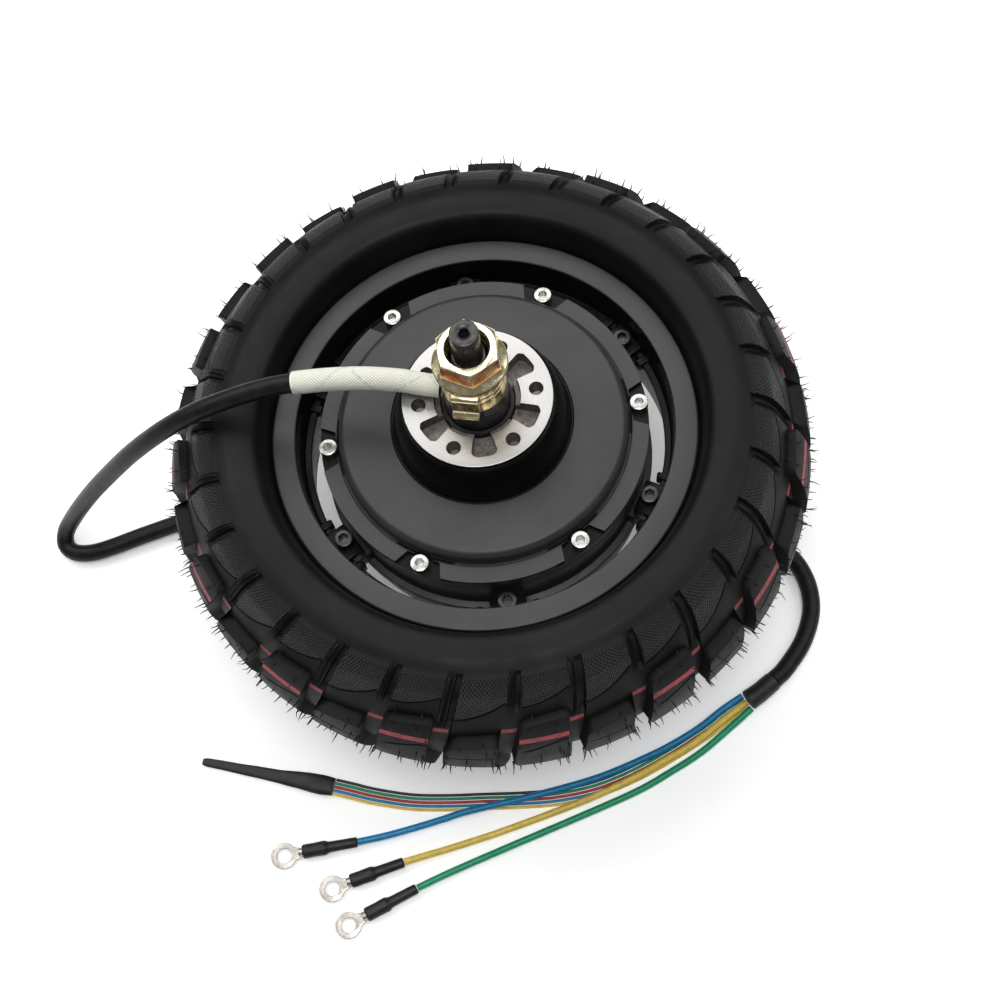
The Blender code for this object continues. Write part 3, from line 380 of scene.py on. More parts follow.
def make_tyre(rubber, knurl, stripe, wall):
    cell_columns = [-0.68, *np.linspace(-0.1, 7.3, 12), 7.88, 8.12, *np.arange(8.40, 11.0, 0.21), 11.08]
    x = np.array(cell_columns)
    halves = {}
    for short in (False, True):
        angle, _ = half_section(x, short)
        halves[short] = (angle, half_height(x, short, angle))
    blocks = []
    for cell in range(2 * REPEATS):
        short = cell % 2 == 1
        top_angle, top_height = halves[short]
        low_angle, low_height = halves[not short]
        angle = np.vstack([top_angle, -low_angle[::-1][1:]])
        height = np.vstack([top_height, low_height[::-1][1:]])
        around = TREAD_START + cell * CELL + x[None, :] + LEAN * np.abs(angle)
        blocks.append((angle, height, around))
    angle, height, around = (np.hstack([block[k] for block in blocks]) for k in range(3))
    r, z, normal_r, normal_z = crown(angle)
    r, z = r + height * normal_r, z + height * normal_z
    outer = np.array(sidewall())
    inside = [(77.4, 13.0), (84.0, 15.6)]
    hollow = [(CROWN_CENTRE + 22.0 * math.cos(a), 32.0 * math.sin(a)) for a in np.radians((60, 30, 0, -30, -60))]
    inside = np.array(inside + hollow + [(r, -z) for r, z in inside[::-1]])
    closing = np.vstack([outer * (1, -1), inside[::-1] * (1, 1), outer[::-1]])
    edge = np.repeat(around[:1], len(closing), 0)
    rs = np.vstack([r, np.repeat(closing[:, :1], r.shape[1], 1)])
    zs = np.vstack([z, np.repeat(closing[:, 1:], r.shape[1], 1)])
    arounds = np.radians(np.vstack([around, edge]))
    points = np.stack([rs * np.cos(arounds), rs * np.sin(arounds), zs], -1)
    mesh = grid_mesh("tyre_rubber", points, (rubber, knurl, stripe, wall))

    rows, columns = rs.shape
    tread_rows = len(angle)
    row = np.arange(rows)[:, None]
    half = (tread_rows - 1) // 2
    from_middle = np.abs(half - row - 0.5)  # of each face, counted in rows
    cell_x = np.tile(np.append((x[:-1] + x[1:]) / 2, x[-1] + 0.06), 2 * REPEATS)[None, :]
    is_short = np.repeat(np.arange(2 * REPEATS) % 2 == 1, len(x))[None, :]
    is_short = np.where(row < half, is_short, ~is_short)
    in_tread = row < tread_rows - 1
    lug = (cell_x > BLOCK[0] + 0.1) & (cell_x < BLOCK[1] + 0.3)
    knurled = in_tread & lug & (from_middle > ARC_ROW + 1) & (from_middle < KNURL_ROW)
    striped = in_tread & (from_middle > STRIPE_ROW) & (from_middle < STRIPE_END)
    on_block = (cell_x > BLOCK[0]) & (cell_x < BLOCK[1])
    striped = striped & np.where(on_block, ~is_short, (cell_x > BLOCK[1] + 0.1) & (cell_x < 10.9))
    slots = np.where(knurled, 1, np.where(striped, 2, np.where(in_tread, 0, 3)))
    mesh.polygons.foreach_set("material_index", slots.astype(np.int32).ravel())
    lay_out(mesh, rs, arounds, zs)
    sharpen(mesh, 34)
    return piece("tyre_casing", mesh, "wheel", "tyre")


def lay_out(mesh, r, around, z):
    """A UV map in millimetres: round the wheel, and along the section."""
    along = np.cumsum(np.hypot(np.diff(r[:, 0], prepend=r[0, 0]), np.diff(z[:, 0], prepend=z[0, 0])))
    u = np.hstack([around, around[:, :1] + 2 * math.pi]) * CROWN_CENTRE * 1.2
    v = np.repeat(np.append(along, along[-1] + 1.0)[:, None], u.shape[1], 1)
    u = np.vstack([u, u[:1]])
    uv = np.stack([u, v], -1)
    corners = [uv[:-1, :-1], uv[1:, :-1], uv[1:, 1:], uv[:-1, 1:]]
    layer = mesh.uv_layers.new(name="laid_out")
    layer.data.foreach_set("uv", np.stack(corners, 2).astype(np.float32).ravel())


def rubber_material(name, colour, roughness, gloss):
    made = Nodes(name, colour, roughness, Specular_IOR_Level=gloss)
    made.tint(made.spread(made.noise(0.03, 4.0), 0.35, 0.7), tuple(1.7 * c for c in colour))
    made.rough(made.noise(0.12, 4.0), roughness - 0.06, roughness + 0.10)
    made.bump(made.noise(2.2, 3.0), 0.05, 0.6)
    return made.material


def knurl_material():
    made = Nodes("tyre_knurl", (0.007, 0.007, 0.0075), 0.42, Specular_IOR_Level=0.25)
    place = made.node("UVMap", uv_map="laid_out").outputs[0]
    split = made.node("SeparateXYZ", {0: place})
    pitch = 1.5
    waves = []
    for sign in (1.0, -1.0):
        slanted = made.maths("MULTIPLY_ADD", split.outputs[1], sign, split.outputs[0])
        waves.append(made.maths("ABSOLUTE", made.maths("SINE", made.maths("MULTIPLY", slanted, math.pi / pitch))))
    dots = made.maths("MULTIPLY", *waves)
    made.tint(made.spread(dots, 0.3, 0.8), (0.030, 0.030, 0.031))
    made.bump(dots, 0.6, 1.0)
    return made.material


def stripe_material():
    made = Nodes("tyre_stripe", (0.36, 0.035, 0.045), 0.62)
    made.tint(made.spread(made.noise(0.5, 4.0), 0.4, 0.75), (0.12, 0.012, 0.018))
    made.bump(made.noise(2.5, 2.0), 0.05, 0.5)
    return made.material


# ---------------------------------------------------------------- turned, cut and swept shapes, in millimetres
def polar(radius, degrees):
    angle = math.radians(degrees)
    return radius * math.cos(angle), radius * math.sin(angle)


def arc(radius, start, end, count):
    return [polar(radius, start + (end - start) * k / (count - 1)) for k in range(count)]


def rounded(profile, loop=True, steps=4):
    """A profile whose corners with a third number, their radius, are rounded."""
    points = []
    for k, corner in enumerate(profile):
        here = Vector(corner[:2])
        inside = loop or 0 < k < len(profile) - 1
        if len(corner) < 3 or not inside:
            points.append(tuple(here))
            continue
        before = Vector(profile[k - 1][:2]) - here
        after = Vector(profile[(k + 1) % len(profile)][:2]) - here
        size = min(corner[2], 0.48 * before.length, 0.48 * after.length)
        start, end = here + before.normalized() * size, here + after.normalized() * size
        for i in range(steps + 1):
            t = i / steps
            points.append(tuple(start * (1 - t) ** 2 + here * 2 * t * (1 - t) + end * t ** 2))
    return points


def weld(mesh, distance=1e-6):
    bm = bmesh.new()
    bm.from_mesh(mesh)
    bmesh.ops.remove_doubles(bm, verts=bm.verts, dist=distance)
    bm.to_mesh(mesh)
    bm.free()


def revolve(name, rows, materials, sides=120, loop=True, start=0.0):
    """A solid about the axis. Each row is a radius and a height, as numbers or as arrays round the axis; the
    rows run down the outer side."""
    turn = around(sides, start)
    points = []
    for r, z in rows:
        points.append(np.stack(np.broadcast_arrays(r * np.cos(turn), r * np.sin(turn), z), -1))
    mesh = grid_mesh(name, np.array(points), materials, wrap_rows=loop)
    if not loop:
        weld(mesh)
    sharpen(mesh)
    return mesh


def around(sides, start=0.0):
    return math.radians(start) + np.arange(sides) * (2 * math.pi / sides)


def hexagon(flats, turn):
    """Radius of a hexagon, by its width across flats, at each angle."""
    return flats / 2 / np.cos((turn + math.pi / 6) % (math.pi / 3) - math.pi / 6)


def merged(name, meshes, materials=()):
    bm = bmesh.new()
    for mesh in meshes:
        bm.from_mesh(mesh)
        bpy.data.meshes.remove(mesh)
    mesh = bpy.data.meshes.new(name)
    bm.to_mesh(mesh)
    bm.free()
    for material in materials:
        mesh.materials.append(material)
    return mesh


def placed(mesh, radius=0.0, degrees=0.0, z=0.0, tilt=None):
    """A copy of the mesh moved out from the axis and turned about it."""
    copy = mesh.copy()
    move = Matrix.Rotation(math.radians(degrees), 4, "Z") @ Matrix.Translation((radius * MM, 0, z * MM))
    copy.transform(move @ tilt if tilt else move)
    return copy


def drum(radius, low, high, sides=32, chamfer=0.0):
    """An upright cylinder, with the edges broken where a chamfer is given."""
    rows = [(0.0, high), (radius - chamfer, high), (radius, high - chamfer), (radius, low + chamfer),
            (radius - chamfer, low), (0.0, low)]
    if not chamfer:
        rows = [(0.0, high), (radius, high), (radius, low), (0.0, low)]
    return revolve("drum", rows, (), sides, loop=False)


def brick(size, chamfer=0.0, segments=2):
    bm = bmesh.new()
    bmesh.ops.create_cube(bm, size=1.0, matrix=Matrix.Diagonal((*[value * MM for value in size], 1.0)))
    if chamfer:
        bmesh.ops.bevel(bm, geom=bm.edges, offset=chamfer * MM, segments=segments, affect="EDGES", profile=0.5)
    mesh = bpy.data.meshes.new("brick")
    bm.to_mesh(mesh)
    bm.free()
    return mesh


def plate(name, outline, low, high, holes=(), edge=0.0, segments=2):
    """A flat outline, with any holes, between two heights, its edges rounded off."""
    curve = bpy.data.curves.new(name, "CURVE")
    curve.dimensions = "2D"
    curve.fill_mode = "BOTH"
    curve.extrude = ((high - low) / 2 - edge) * MM
    curve.bevel_depth = edge * MM
    curve.bevel_resolution = segments
    curve.offset = -edge * MM
    for points in (outline, *holes):
        spline = curve.splines.new("POLY")
        spline.points.add(len(points) - 1)
        for point, (x, y) in zip(spline.points, points):
            point.co = (x * MM, y * MM, 0.0, 1.0)
        spline.use_cyclic_u = True
    mesh = evaluated_mesh(bpy.data.objects.new(name, curve))
    mesh.transform(Matrix.Translation((0, 0, (high + low) / 2 * MM)))
    weld(mesh)
    return mesh


def evaluated_mesh(obj):
    """The object's mesh with its modifiers; the object is removed."""
    bpy.context.scene.collection.objects.link(obj)
    bpy.context.view_layer.update()
    mesh = bpy.data.meshes.new_from_object(obj.evaluated_get(bpy.context.evaluated_depsgraph_get()))
    mesh.name = obj.name
    bpy.data.objects.remove(obj)
    return mesh


def carve(mesh, *tools, add=False):
    """The mesh with these tools cut away from it, or added to it."""
    obj = bpy.data.objects.new(mesh.name, mesh)
    helpers = []
    for tool in tools:
        helper = bpy.data.objects.new("tool", tool)
        bpy.context.scene.collection.objects.link(helper)
        helpers.append(helper)
        modifier = obj.modifiers.new("carve", "BOOLEAN")
        modifier.object = helper
        modifier.operation = "UNION" if add else "DIFFERENCE"
        modifier.solver = "EXACT"
    made = evaluated_mesh(obj)
    for helper in helpers:
        bpy.data.objects.remove(helper)
    sharpen(made)
    return made


def paint(mesh, rule):
    """Sets each face's material slot by a rule on its radius, height and upward slope."""
    for face in mesh.polygons:
        x, y, z = face.center / MM
        face.material_index = rule(math.hypot(x, y), z, face.normal.z, math.degrees(math.atan2(y, x)))
    return mesh


def smooth_route(points, spacing):
    """Points read every spacing or so from a smooth curve through the route's own points."""
    points = [Vector(p) for p in points]
    ends = [2 * points[0] - points[1], *points, 2 * points[-1] - points[-2]]
    read = []
    for before, start, end, after in zip(ends, ends[1:], ends[2:], ends[3:]):
        count = max(1, round((end - start).length / spacing))
        for i in range(count):
            t = i / count
            read.append(0.5 * (2 * start + (end - before) * t
                               + (2 * before - 5 * start + 4 * end - after) * t ** 2
                               + (3 * start - before - 3 * end + after) * t ** 3))
    return [*read, points[-1]]


def swept(name, route, radii, materials, sides=24, inner=None):
    """A tube along a route, its radius given at shares of the length; closed by flat ends or round its bore."""
    route = [Vector(p) for p in route]
    steps = np.array([0.0, *[(b - a).length for a, b in zip(route, route[1:])]]).cumsum()
    shares, sizes = zip(*radii)
    radius = np.interp(steps / steps[-1], shares, sizes)
    turn = around(sides)
    rings = []
    side = Vector((0, 0, 1))
    for k, place in enumerate(route):
        ahead = (route[min(k + 1, len(route) - 1)] - route[max(k - 1, 0)]).normalized()
        side = (side - ahead * side.dot(ahead)).normalized()
        other = ahead.cross(side)
        ring = np.outer(np.cos(turn), side) + np.outer(np.sin(turn), other)
        rings.append((np.array(place), ring, radius[k]))
    rows = [place + ring * size for place, ring, size in rings]
    if inner:
        rows += [place + ring * inner for place, ring, _ in reversed(rings)]
    else:
        rows = [rows[0] * 0 + rings[0][0], *rows, rows[-1] * 0 + rings[-1][0]]
    points = np.array(rows)[::-1]
    mesh = grid_mesh(name, points, materials, wrap_rows=bool(inner))
    count = len(points)
    along = np.append(np.interp(np.arange(count), [0, count - 1], [steps[-1], 0.0]), 0.0)
    if inner:
        along = np.concatenate([steps, steps[::-1], steps[:1]])[::-1]
    faces_up = count if inner else count - 1
    u = np.repeat(np.arange(sides + 1)[None, :] / sides, count + 1, 0)
    uv = np.stack([u, np.repeat(along[:, None], sides + 1, 1)], -1)
    corners = [uv[:-1, :-1], uv[1:, :-1], uv[1:, 1:], uv[:-1, 1:]]
    layer = mesh.uv_layers.new(name="laid_out")
    layer.data.foreach_set("uv", np.stack(corners, 2)[:faces_up].astype(np.float32).ravel())
    if not inner:
        weld(mesh)
    sharpen(mesh, 50)
    return mesh


# ---------------------------------------------------------------- rim
LUG_ANGLES = [30 + 60 * k for k in range(6)]
SCREW_ANGLES = [60 * k for k in range(6)]
LUG_CIRCLE = 68.2


def make_rim(casting, gloss):
    outer = [(RIM_RADIUS, RIM_FACE_Z, 0.8), (RIM_RADIUS, 20.3, 0.8), (76.7, 18.9, 0.8), (76.7, 12.0, 1.0),
             (75.4, 10.0, 1.0)]
    profile = [
        *outer, *[(r, -z, size) for r, z, size in reversed(outer)],
        (73.4, -RIM_FACE_Z, 0.7), (72.4, 3.3, 0.5), (69.8, 3.3, 0.3), (69.8, 7.5, 0.5), (72.4, 7.5, 0.6),
        (73.0, 19.0), (73.4, RIM_FACE_Z, 0.7),
    ]
    rim = revolve("rim_cast", rounded(profile), (casting, gloss), 180)
    lug = brick((9.4, 14.0, 6.7), 0.8)
    rib = brick((5.0, 3.0, 5.4), 0.6)
    lugs = [placed(lug, 69.0, angle, 6.65) for angle in LUG_ANGLES]
    ribs = [placed(rib, 70.6, angle + side * 9.0, 5.9) for angle in LUG_ANGLES for side in (-1, 1)]
    rim = carve(rim, merged("rim_lugs", lugs), merged("rim_ribs", ribs), add=True)
    holes = [placed(drum(2.9, 0.0, 14.0), LUG_CIRCLE, angle) for angle in LUG_ANGLES]
    valve = placed(drum(3.3, -4.0, 4.0), 74.0, 120, -7.0, Matrix.Rotation(math.pi / 2, 4, "Y"))
    rim = carve(rim, merged("holes", holes), valve)
    # Painted shade: the rim's inner wall, lugs and ribs take the near-black second material, darker than the casting,
    # as shade in the recess.
    paint(rim, lambda radius, z, slope, angle: 1 if radius < 73.9 and abs(z) < 22.6 else 0)
    return piece("rim_cast", rim, "wheel", "rim")


def make_valve(rubber, brass):
    profile = rounded([(0.0, 0.0), (2.2, 0.0, 0.5), (2.6, -1.0), (2.6, -8.0, 0.5), (2.3, -8.6)], False)
    cap = revolve("cap", [*profile, (2.3, -8.7), (0.0, -8.7)], (), 24, loop=False)
    flutes = [placed(drum(0.35, -8.0, -0.8, 8), 2.75, 30 * k) for k in range(12)]
    cap = placed(carve(cap, merged("flutes", flutes)), 67.4, 120, -19.3)
    route = [(76.4, -7.0), (73.5, -7.0), (70.5, -7.8), (68.4, -9.8), (67.6, -12.8), (67.4, -18.0), (67.4, -19.6)]
    c, s = polar(1.0, 120)
    stem = swept("stem", smooth_route([(r * c, r * s, z) for r, z in route], 1.2),
                 ((0.0, 2.5), (0.25, 2.5), (0.3, 2.2), (1.0, 2.1)), (), 20)
    mesh = merged("valve", [stem, cap], (rubber, brass))
    sharpen(mesh, 45)
    obj = piece("valve", mesh, "wheel", "valve_stem")
    return obj


# ---------------------------------------------------------------- motor housing
SCREW_CIRCLE = 60.4
DISC_THREADS = 22.0


def make_cover(casting, machined, raw, gloss):
    profile = [
        (28.3, DISC_FACE_Z, 0.45), (28.3, 47.6, 0.3), (29.2, 47.2, 0.6), (31.4, 41.6), (32.4, 36.0), (33.0, 32.4, 1.2),
        (34.1, 30.6, 0.5), (34.2, 29.3, 0.2), (34.9, 29.3, 0.2), (35.1, 30.0, 0.3), (45.0, 29.2), (53.8, 28.4, 0.9),
        (55.6, 26.6, 0.6), (56.0, 23.0, 0.3), (56.6, 22.3, 0.3), (57.2, 22.8, 0.3), (COVER_RADIUS, 22.8, 0.35),
        (COVER_RADIUS, 18.3, 0.3), (57.2, 18.3), (57.2, 16.8), (53.0, 23.6), (22.0, 27.2), (18.8, 30.7),
        (18.8, 40.4), (14.0, 40.4), (14.0, 46.6, 0.4), (16.0, 46.8, 0.2), (16.0, DISC_FACE_Z, 0.3),
    ]
    cover = revolve("motor_cover", rounded(profile), (casting, machined, raw, gloss), 240)
    tools = []
    half = 12.3
    for angle in LUG_ANGLES:
        wall = rounded([
            (*polar(12.9, angle - half), ), (*polar(23.2, angle - half), 1.6),
            *[(*p, ) for p in arc(24.3, angle - 0.62 * half, angle + 0.62 * half, 7)],
            (*polar(23.2, angle + half), 1.6), (*polar(12.9, angle + half), ),
        ])
        tools.append(plate("pocket", wall[::-1], 42.8, 52.0))
    wells = [placed(drum(5.0, 20.6, 32.0, 48), SCREW_CIRCLE, angle) for angle in SCREW_ANGLES]
    notch = plate("notch", [(57.2, -6.6), (67.0, -11.5), (67.0, 11.5), (57.2, 6.6)], 20.8, 32.0)
    mouths = [placed(notch, 0.0, angle) for angle in SCREW_ANGLES]
    holes = [placed(drum(2.3, 14.0, 24.0, 24), SCREW_CIRCLE, angle) for angle in SCREW_ANGLES]
    threads = [placed(drum(2.5, 41.6, 48.6, 32), DISC_THREADS, angle) for angle in SCREW_ANGLES]
    sinks = [placed(revolve("sink", [(0.0, 50.0), (3.4, 50.0), (2.45, 48.5), (0.0, 48.5)], (), 32, loop=False),
                    DISC_THREADS, angle) for angle in SCREW_ANGLES]
    tools += [merged("wells", wells), merged("mouths", mouths), merged("holes", holes), merged("threads", threads),
              merged("sinks", sinks)]
    cover = carve(cover, *tools)

    def finish(radius, z, slope, angle):
        if slope > 0.8 and z > DISC_FACE_Z - 0.2:
            return 1
        if 12 < radius < 24.4 and 42 < z < DISC_FACE_Z - 0.3:
            return 2
        if slope > 0.8 and z < 42 and 19.4 < radius < 24.6:
            return 1
        # Painted shade: the notches and wells by the cover screws take the near-black material (slot 3); the bell round
        # the machined face takes it as its own black.
        screw_notch_shade = abs((angle + 30) % 60 - 30) < 11.5 and radius > 55.2 and 18.5 < z < 22.7
        return 3 if screw_notch_shade or 28.2 < radius < 34.95 and z > 29.0 else 0

    return piece("motor_cover", paint(cover, finish), "wheel", "front_cover")


def make_casing(casting):
    profile = [
        (62.8, 18.0, 0.4), (62.8, 9.0, 0.4), (62.2, 8.6, 0.3), (62.2, -3.4, 0.3), (65.0, -3.8, 0.4), (65.0, -8.2, 0.6),
        (62.8, -9.0, 0.4), (62.8, -22.0, 1.2),
        (59.8, -25.0, 1.6), (24.0, -26.0, 1.0), (22.0, -36.5, 0.8), (13.2, -36.5, 0.3), (13.2, -33.6, 0.2),
        (17.7, -33.6, 0.3), (17.7, -22.0, 0.8), (52.0, -21.6, 0.8), (57.8, -18.0, 0.8), (57.8, 18.0, 0.3),
    ]
    casing = revolve("motor_drum", rounded(profile), (casting,), 180)
    ears = [placed(brick((10.0, 14.0, 8.0), 0.9), 66.5, angle, -1.0) for angle in LUG_ANGLES]
    ribs = [placed(brick((36.0, 4.0, 3.0), 0.7), 41.0, angle, -26.5) for angle in SCREW_ANGLES]
    casing = carve(casing, merged("ears", ears), merged("ribs", ribs), add=True)
    holes = [placed(drum(2.7, -8.0, 6.0, 24), LUG_CIRCLE, angle) for angle in LUG_ANGLES]
    holes += [placed(drum(1.95, 8.0, 22.0, 20), SCREW_CIRCLE, angle) for angle in SCREW_ANGLES]
    return piece("motor_drum", carve(casing, merged("holes", holes)), "wheel", "motor_casing")


def cap_screw(head, height, flats, shank, length, thread=0.5):
    """A socket head cap screw standing on z = 0, with its socket and its thread."""
    sides = 48
    turn = around(sides)
    socket = hexagon(flats, turn)
    rows = [
        (0.0, 0.42 * height), (socket * 0.98, 0.42 * height), (socket, height - 0.12), (socket + 0.12, height),
        (head - 0.45, height), (head - 0.12, height - 0.12), (head, height - 0.45), (head, 0.1), (head - 0.1, 0.0),
        (shank, 0.0),
    ]
    for z in np.arange(0.0, length - 0.4, thread / 6):
        depth = 0.3 * thread * np.abs(2 * ((z / thread + turn / (2 * math.pi)) % 1) - 1)
        rows.append((shank - depth, -z))
    rows += [(shank - 0.4, -length), (0.0, -length)]
    return revolve("cap_screw", rows, (), sides, loop=False)


def make_screws(steel, blackened):
    screw = cap_screw(3.45, 3.8, 3.1, 1.6, 10.0)
    screw.materials.append(steel)
    for number, angle in enumerate(SCREW_ANGLES, 1):
        mesh = placed(screw, SCREW_CIRCLE, angle, 20.9)
        mesh.transform(about(SCREW_CIRCLE, angle, 17 * number))
        piece(f"cover_screw_head_{number}", mesh, "wheel", f"cover_screw_{number}")
    bolt = cap_screw(3.5, 4.0, 3.6, 2.3, 14.0, 0.8)
    bolt.materials.append(blackened)
    for number, angle in enumerate(LUG_ANGLES, 1):
        mesh = placed(bolt, LUG_CIRCLE, angle, 10.3)
        mesh.transform(about(LUG_CIRCLE, angle, 23 * number))
        piece(f"rim_bolt_head_{number}", mesh, "wheel", f"rim_bolt_{number}")


def about(radius, degrees, turn):
    """A turn about an upright line through that place."""
    x, y = polar(radius * MM, degrees)
    there = Matrix.Translation((x, y, 0))
    return there @ Matrix.Rotation(math.radians(turn), 4, "Z") @ there.inverted()


# ---------------------------------------------------------------- axle and its hardware
THREAD_PITCH = 1.5
THREAD_DEPTH = 0.85
HALF_FLATS = 6.2


def make_axle(oxide):
    sides = 96
    turn = around(sides)
    rows = [(0.0, 92.0), (1.9, 92.0), (1.9, 98.9), (2.7, AXLE_TOP_Z), (4.7, AXLE_TOP_Z), (5.1, 99.35), (5.25, 98.9),
            (5.25, 83.2), (5.1, 82.9), (6.0, 82.8)]

    def thread(high, low):
        for z in np.arange(high, low, -THREAD_PITCH / 8):
            wave = np.abs(2 * ((z / THREAD_PITCH - turn / (2 * math.pi)) % 1) - 1)
            rows.append((7.0 - THREAD_DEPTH * np.clip(1.25 * wave - 0.125, 0, 1), z))

    thread(82.4, 61.4)
    rows += rounded([(6.4, 61.2), (6.4, 60.2), (12.0, 60.2, 0.5), (12.0, 40.4, 0.3), (10.0, 40.4), (10.0, -22.0, 0.3),
                     (7.5, -22.0), (7.5, -36.0, 0.3), (6.6, -36.6)], False)
    thread(-37.0, -73.9)
    rows += [(6.1, -74.4), (5.6, -74.7), (2.0, -74.7), (1.2, -73.4), (0.0, -73.2)]
    mesh = revolve("axle_shaft", rows, (), sides, loop=False)
    for vertex in mesh.vertices:
        z = vertex.co.z / MM
        if z > 60.7 or z < -46.0:
            vertex.co.x = max(-HALF_FLATS * MM, min(HALF_FLATS * MM, vertex.co.x))
    outwards = Matrix.Rotation(math.radians(165), 4, "Z") @ Matrix.Rotation(math.pi / 2, 4, "Y")
    mouth = drum(4.5, 0.0, 16.0, 40)
    mouth.transform(Matrix.Translation((0, 0, 55.0 * MM)) @ outwards)
    window = brick((16.0, 6.6, 6.8))
    mesh = carve(mesh, mouth, drum(4.2, 24.0, 55.0, 40), placed(window, 8.0, 0.0, 25.6))
    sharpen(mesh, 40)
    mesh.materials.clear()
    mesh.materials.append(oxide)
    return piece("axle_shaft", mesh, "stator", "axle")


def nut_mesh():
    """An M14 flange nut standing on z = 0, its flange down, with its top corners turned off."""
    sides, height, bore = 144, 11.6, 7.3
    turn = around(sides, 30)
    wall = hexagon(20.8, turn)
    corner = 10.2
    top = height - np.maximum(0.0, wall - corner) * 0.62
    rows = [(bore + 0.9, height), (corner - 0.5, height), (corner, height - 0.06), (wall - 0.12, top + 0.02),
            (wall, top - 0.14), (wall, 3.1), (np.minimum(wall + 0.5, 12.6), 2.55), (13.2, 1.9), (13.6, 1.5),
            (13.65, 1.1), (13.65, 0.3), (13.4, 0.0), (bore + 0.5, 0.0), (bore, 0.5)]
    for z in np.arange(0.8, height - 1.0, THREAD_PITCH / 6):
        wave = np.abs(2 * ((z / THREAD_PITCH - turn / (2 * math.pi)) % 1) - 1)
        rows.append((bore - 0.0 + 0.55 * wave, z))
    rows.append((bore + 0.2, height - 0.8))
    return revolve("nut", rows, (), sides, start=30)


def washer_rows(bore, outer, low, high, edge=0.3):
    return rounded([(outer, high, edge), (outer, low, edge), (bore, low, edge), (bore, high, edge)])


def tab_washer_mesh():
    """The anti-rotation washer on z = 0, its tab bent down towards -Y and turned out at its end."""
    thickness, half, drop, bend = 2.4, 4.75, 12.0, 1.9
    ring = [*arc(11.95, -66, 246, 40), (-half, -12.4), (half, -12.4)]
    disc = plate("tab_washer", ring, 0.0, thickness, [arc(7.3, 360, 10, 48)], 0.25)
    side = [(-12.0, thickness), (-15.3 + bend, thickness), *[(-15.3 + bend + y, thickness - bend + z)
            for y, z in arc(bend, 95, 178, 6)], (-15.3, thickness - drop + 4.2), (-15.8, thickness - drop + 3.2),
            (-16.7, thickness - drop + 2.7), (-16.7, thickness - drop + 0.3), (-15.0, thickness - drop),
            (-13.2, thickness - drop + 2.0), (-13.1, 0.0), (-12.0, 0.0)]
    tab = plate("tab", side, -half, half, (), 0.25)
    tab.transform(Matrix(((0, 0, 1, 0), (1, 0, 0, 0), (0, 1, 0, 0), (0, 0, 0, 1))))
    both = carve(disc, tab, add=True)
    sharpen(both, 40)
    return both


def make_hardware(zinc, pale_zinc, oxide):
    nut = nut_mesh()
    for name, z, tilt, node in (("nut_front", 76.9, None, "front_nut"),
                                ("nut_rear", -49.8, Matrix.Rotation(math.pi, 4, "X"), "rear_nut")):
        mesh = placed(nut, z=z, tilt=tilt)
        mesh.materials.append(zinc)
        piece(name, mesh, "stator", node)
    tab = tab_washer_mesh()
    for name, z, degrees, tilt, node in (("tab_front", 74.2, -15, None, "front_tab_washer"),):
        mesh = placed(tab, 0.0, degrees, z, tilt)
        mesh.materials.clear()
        mesh.materials.append(pale_zinc)
        piece(name, mesh, "stator", node)
    for name, bore, outer, low, high, coat, node in (
            ("spacer_front", 7.3, 11.9, 60.5, 67.6, pale_zinc, "front_spacer"),
            ("washer_front_1", 7.3, 11.9, 67.9, 70.8, pale_zinc, "front_washer_inner"),
            ("washer_front_2", 7.3, 11.9, 71.1, 73.9, pale_zinc, "front_washer_outer"),
            ("spacer_rear", 7.7, 11.0, -43.8, -33.6, oxide, "rear_spacer"),
            ("washer_rear", 7.3, 11.9, -49.5, -46.8, pale_zinc, "rear_washer")):
        mesh = revolve(name, washer_rows(bore, outer, low, high), (coat,), 96)
        piece(name, mesh, "stator", node)


# ---------------------------------------------------------------- cable, wires and their ends
SLEEVE_ROUTE = [(-12.6, 3.4, 55.0), (-20.0, 5.6, 55.4), (-27.0, 7.8, 56.0), (-40.0, 10.7, 56.2),
                (-53.0, 13.0, 55.0), (-67.0, 14.8, 53.0)]
CABLE_ROUTE = [
    (-67.3, 14.9, 52.9), (-75.5, 15.4, 51.6), (-84.0, 15.4, 49.8), (-95.4, 14.8, 46.8),
    (-105.5, 14.3, 43.0), (-117.2, 14.0, 35.8), (-129.6, 14.2, 25.0), (-142.0, 15.3, 11.0),
    (-154.4, 17.2, -6.0), (-167.4, 19.4, -25.0), (-178.6, 21.0, -42.5), (-187.6, 21.6, -57.0),
    (-193.6, 19.9, -66.0), (-195.2, 15.6, -70.4), (-191.6, 11.6, -71.1), (-184.4, 10.2, -71.1),
    (-175.0, 11.4, -71.1), (-158.0, 15.4, -71.1), (-138.0, 19.0, -71.1), (-116.0, 18.0, -71.1),
    (-88.0, 8.0, -71.1), (-58.0, -10.0, -71.1), (-28.0, -26.0, -71.1), (6.0, -33.0, -71.1),
    (42.0, -33.0, -71.1), (78.0, -29.0, -71.1), (104.0, -30.0, -71.1), (118.4, -36.4, -71.1),
    (124.4, -48.0, -71.1), (124.6, -62.0, -71.1), (118.6, -75.6, -71.1), (109.0, -86.6, -70.8),
    (103.0, -91.2, -70.2),
]
COLLAR_ROUTE = [(102.76, -91.38, -70.15), (96.5, -95.4, -69.9), (91.2, -98.2, -69.9)]
BLUE_ROUTE = [(88.9, -95.8, -71.4), (80.0, -100.1, -71.8), (69.4, -106.2, -72.05), (58.0, -111.2, -72.05),
              (47.1, -115.0, -72.05), (25.4, -120.8, -72.05), (0.0, -124.4, -72.05), (-29.5, -127.2, -72.1),
              (-40.0, -128.8, -72.8), (-50.7, -130.4, -73.4), (-64.0, -132.3, -72.9), (-76.6, -133.4, -72.3)]
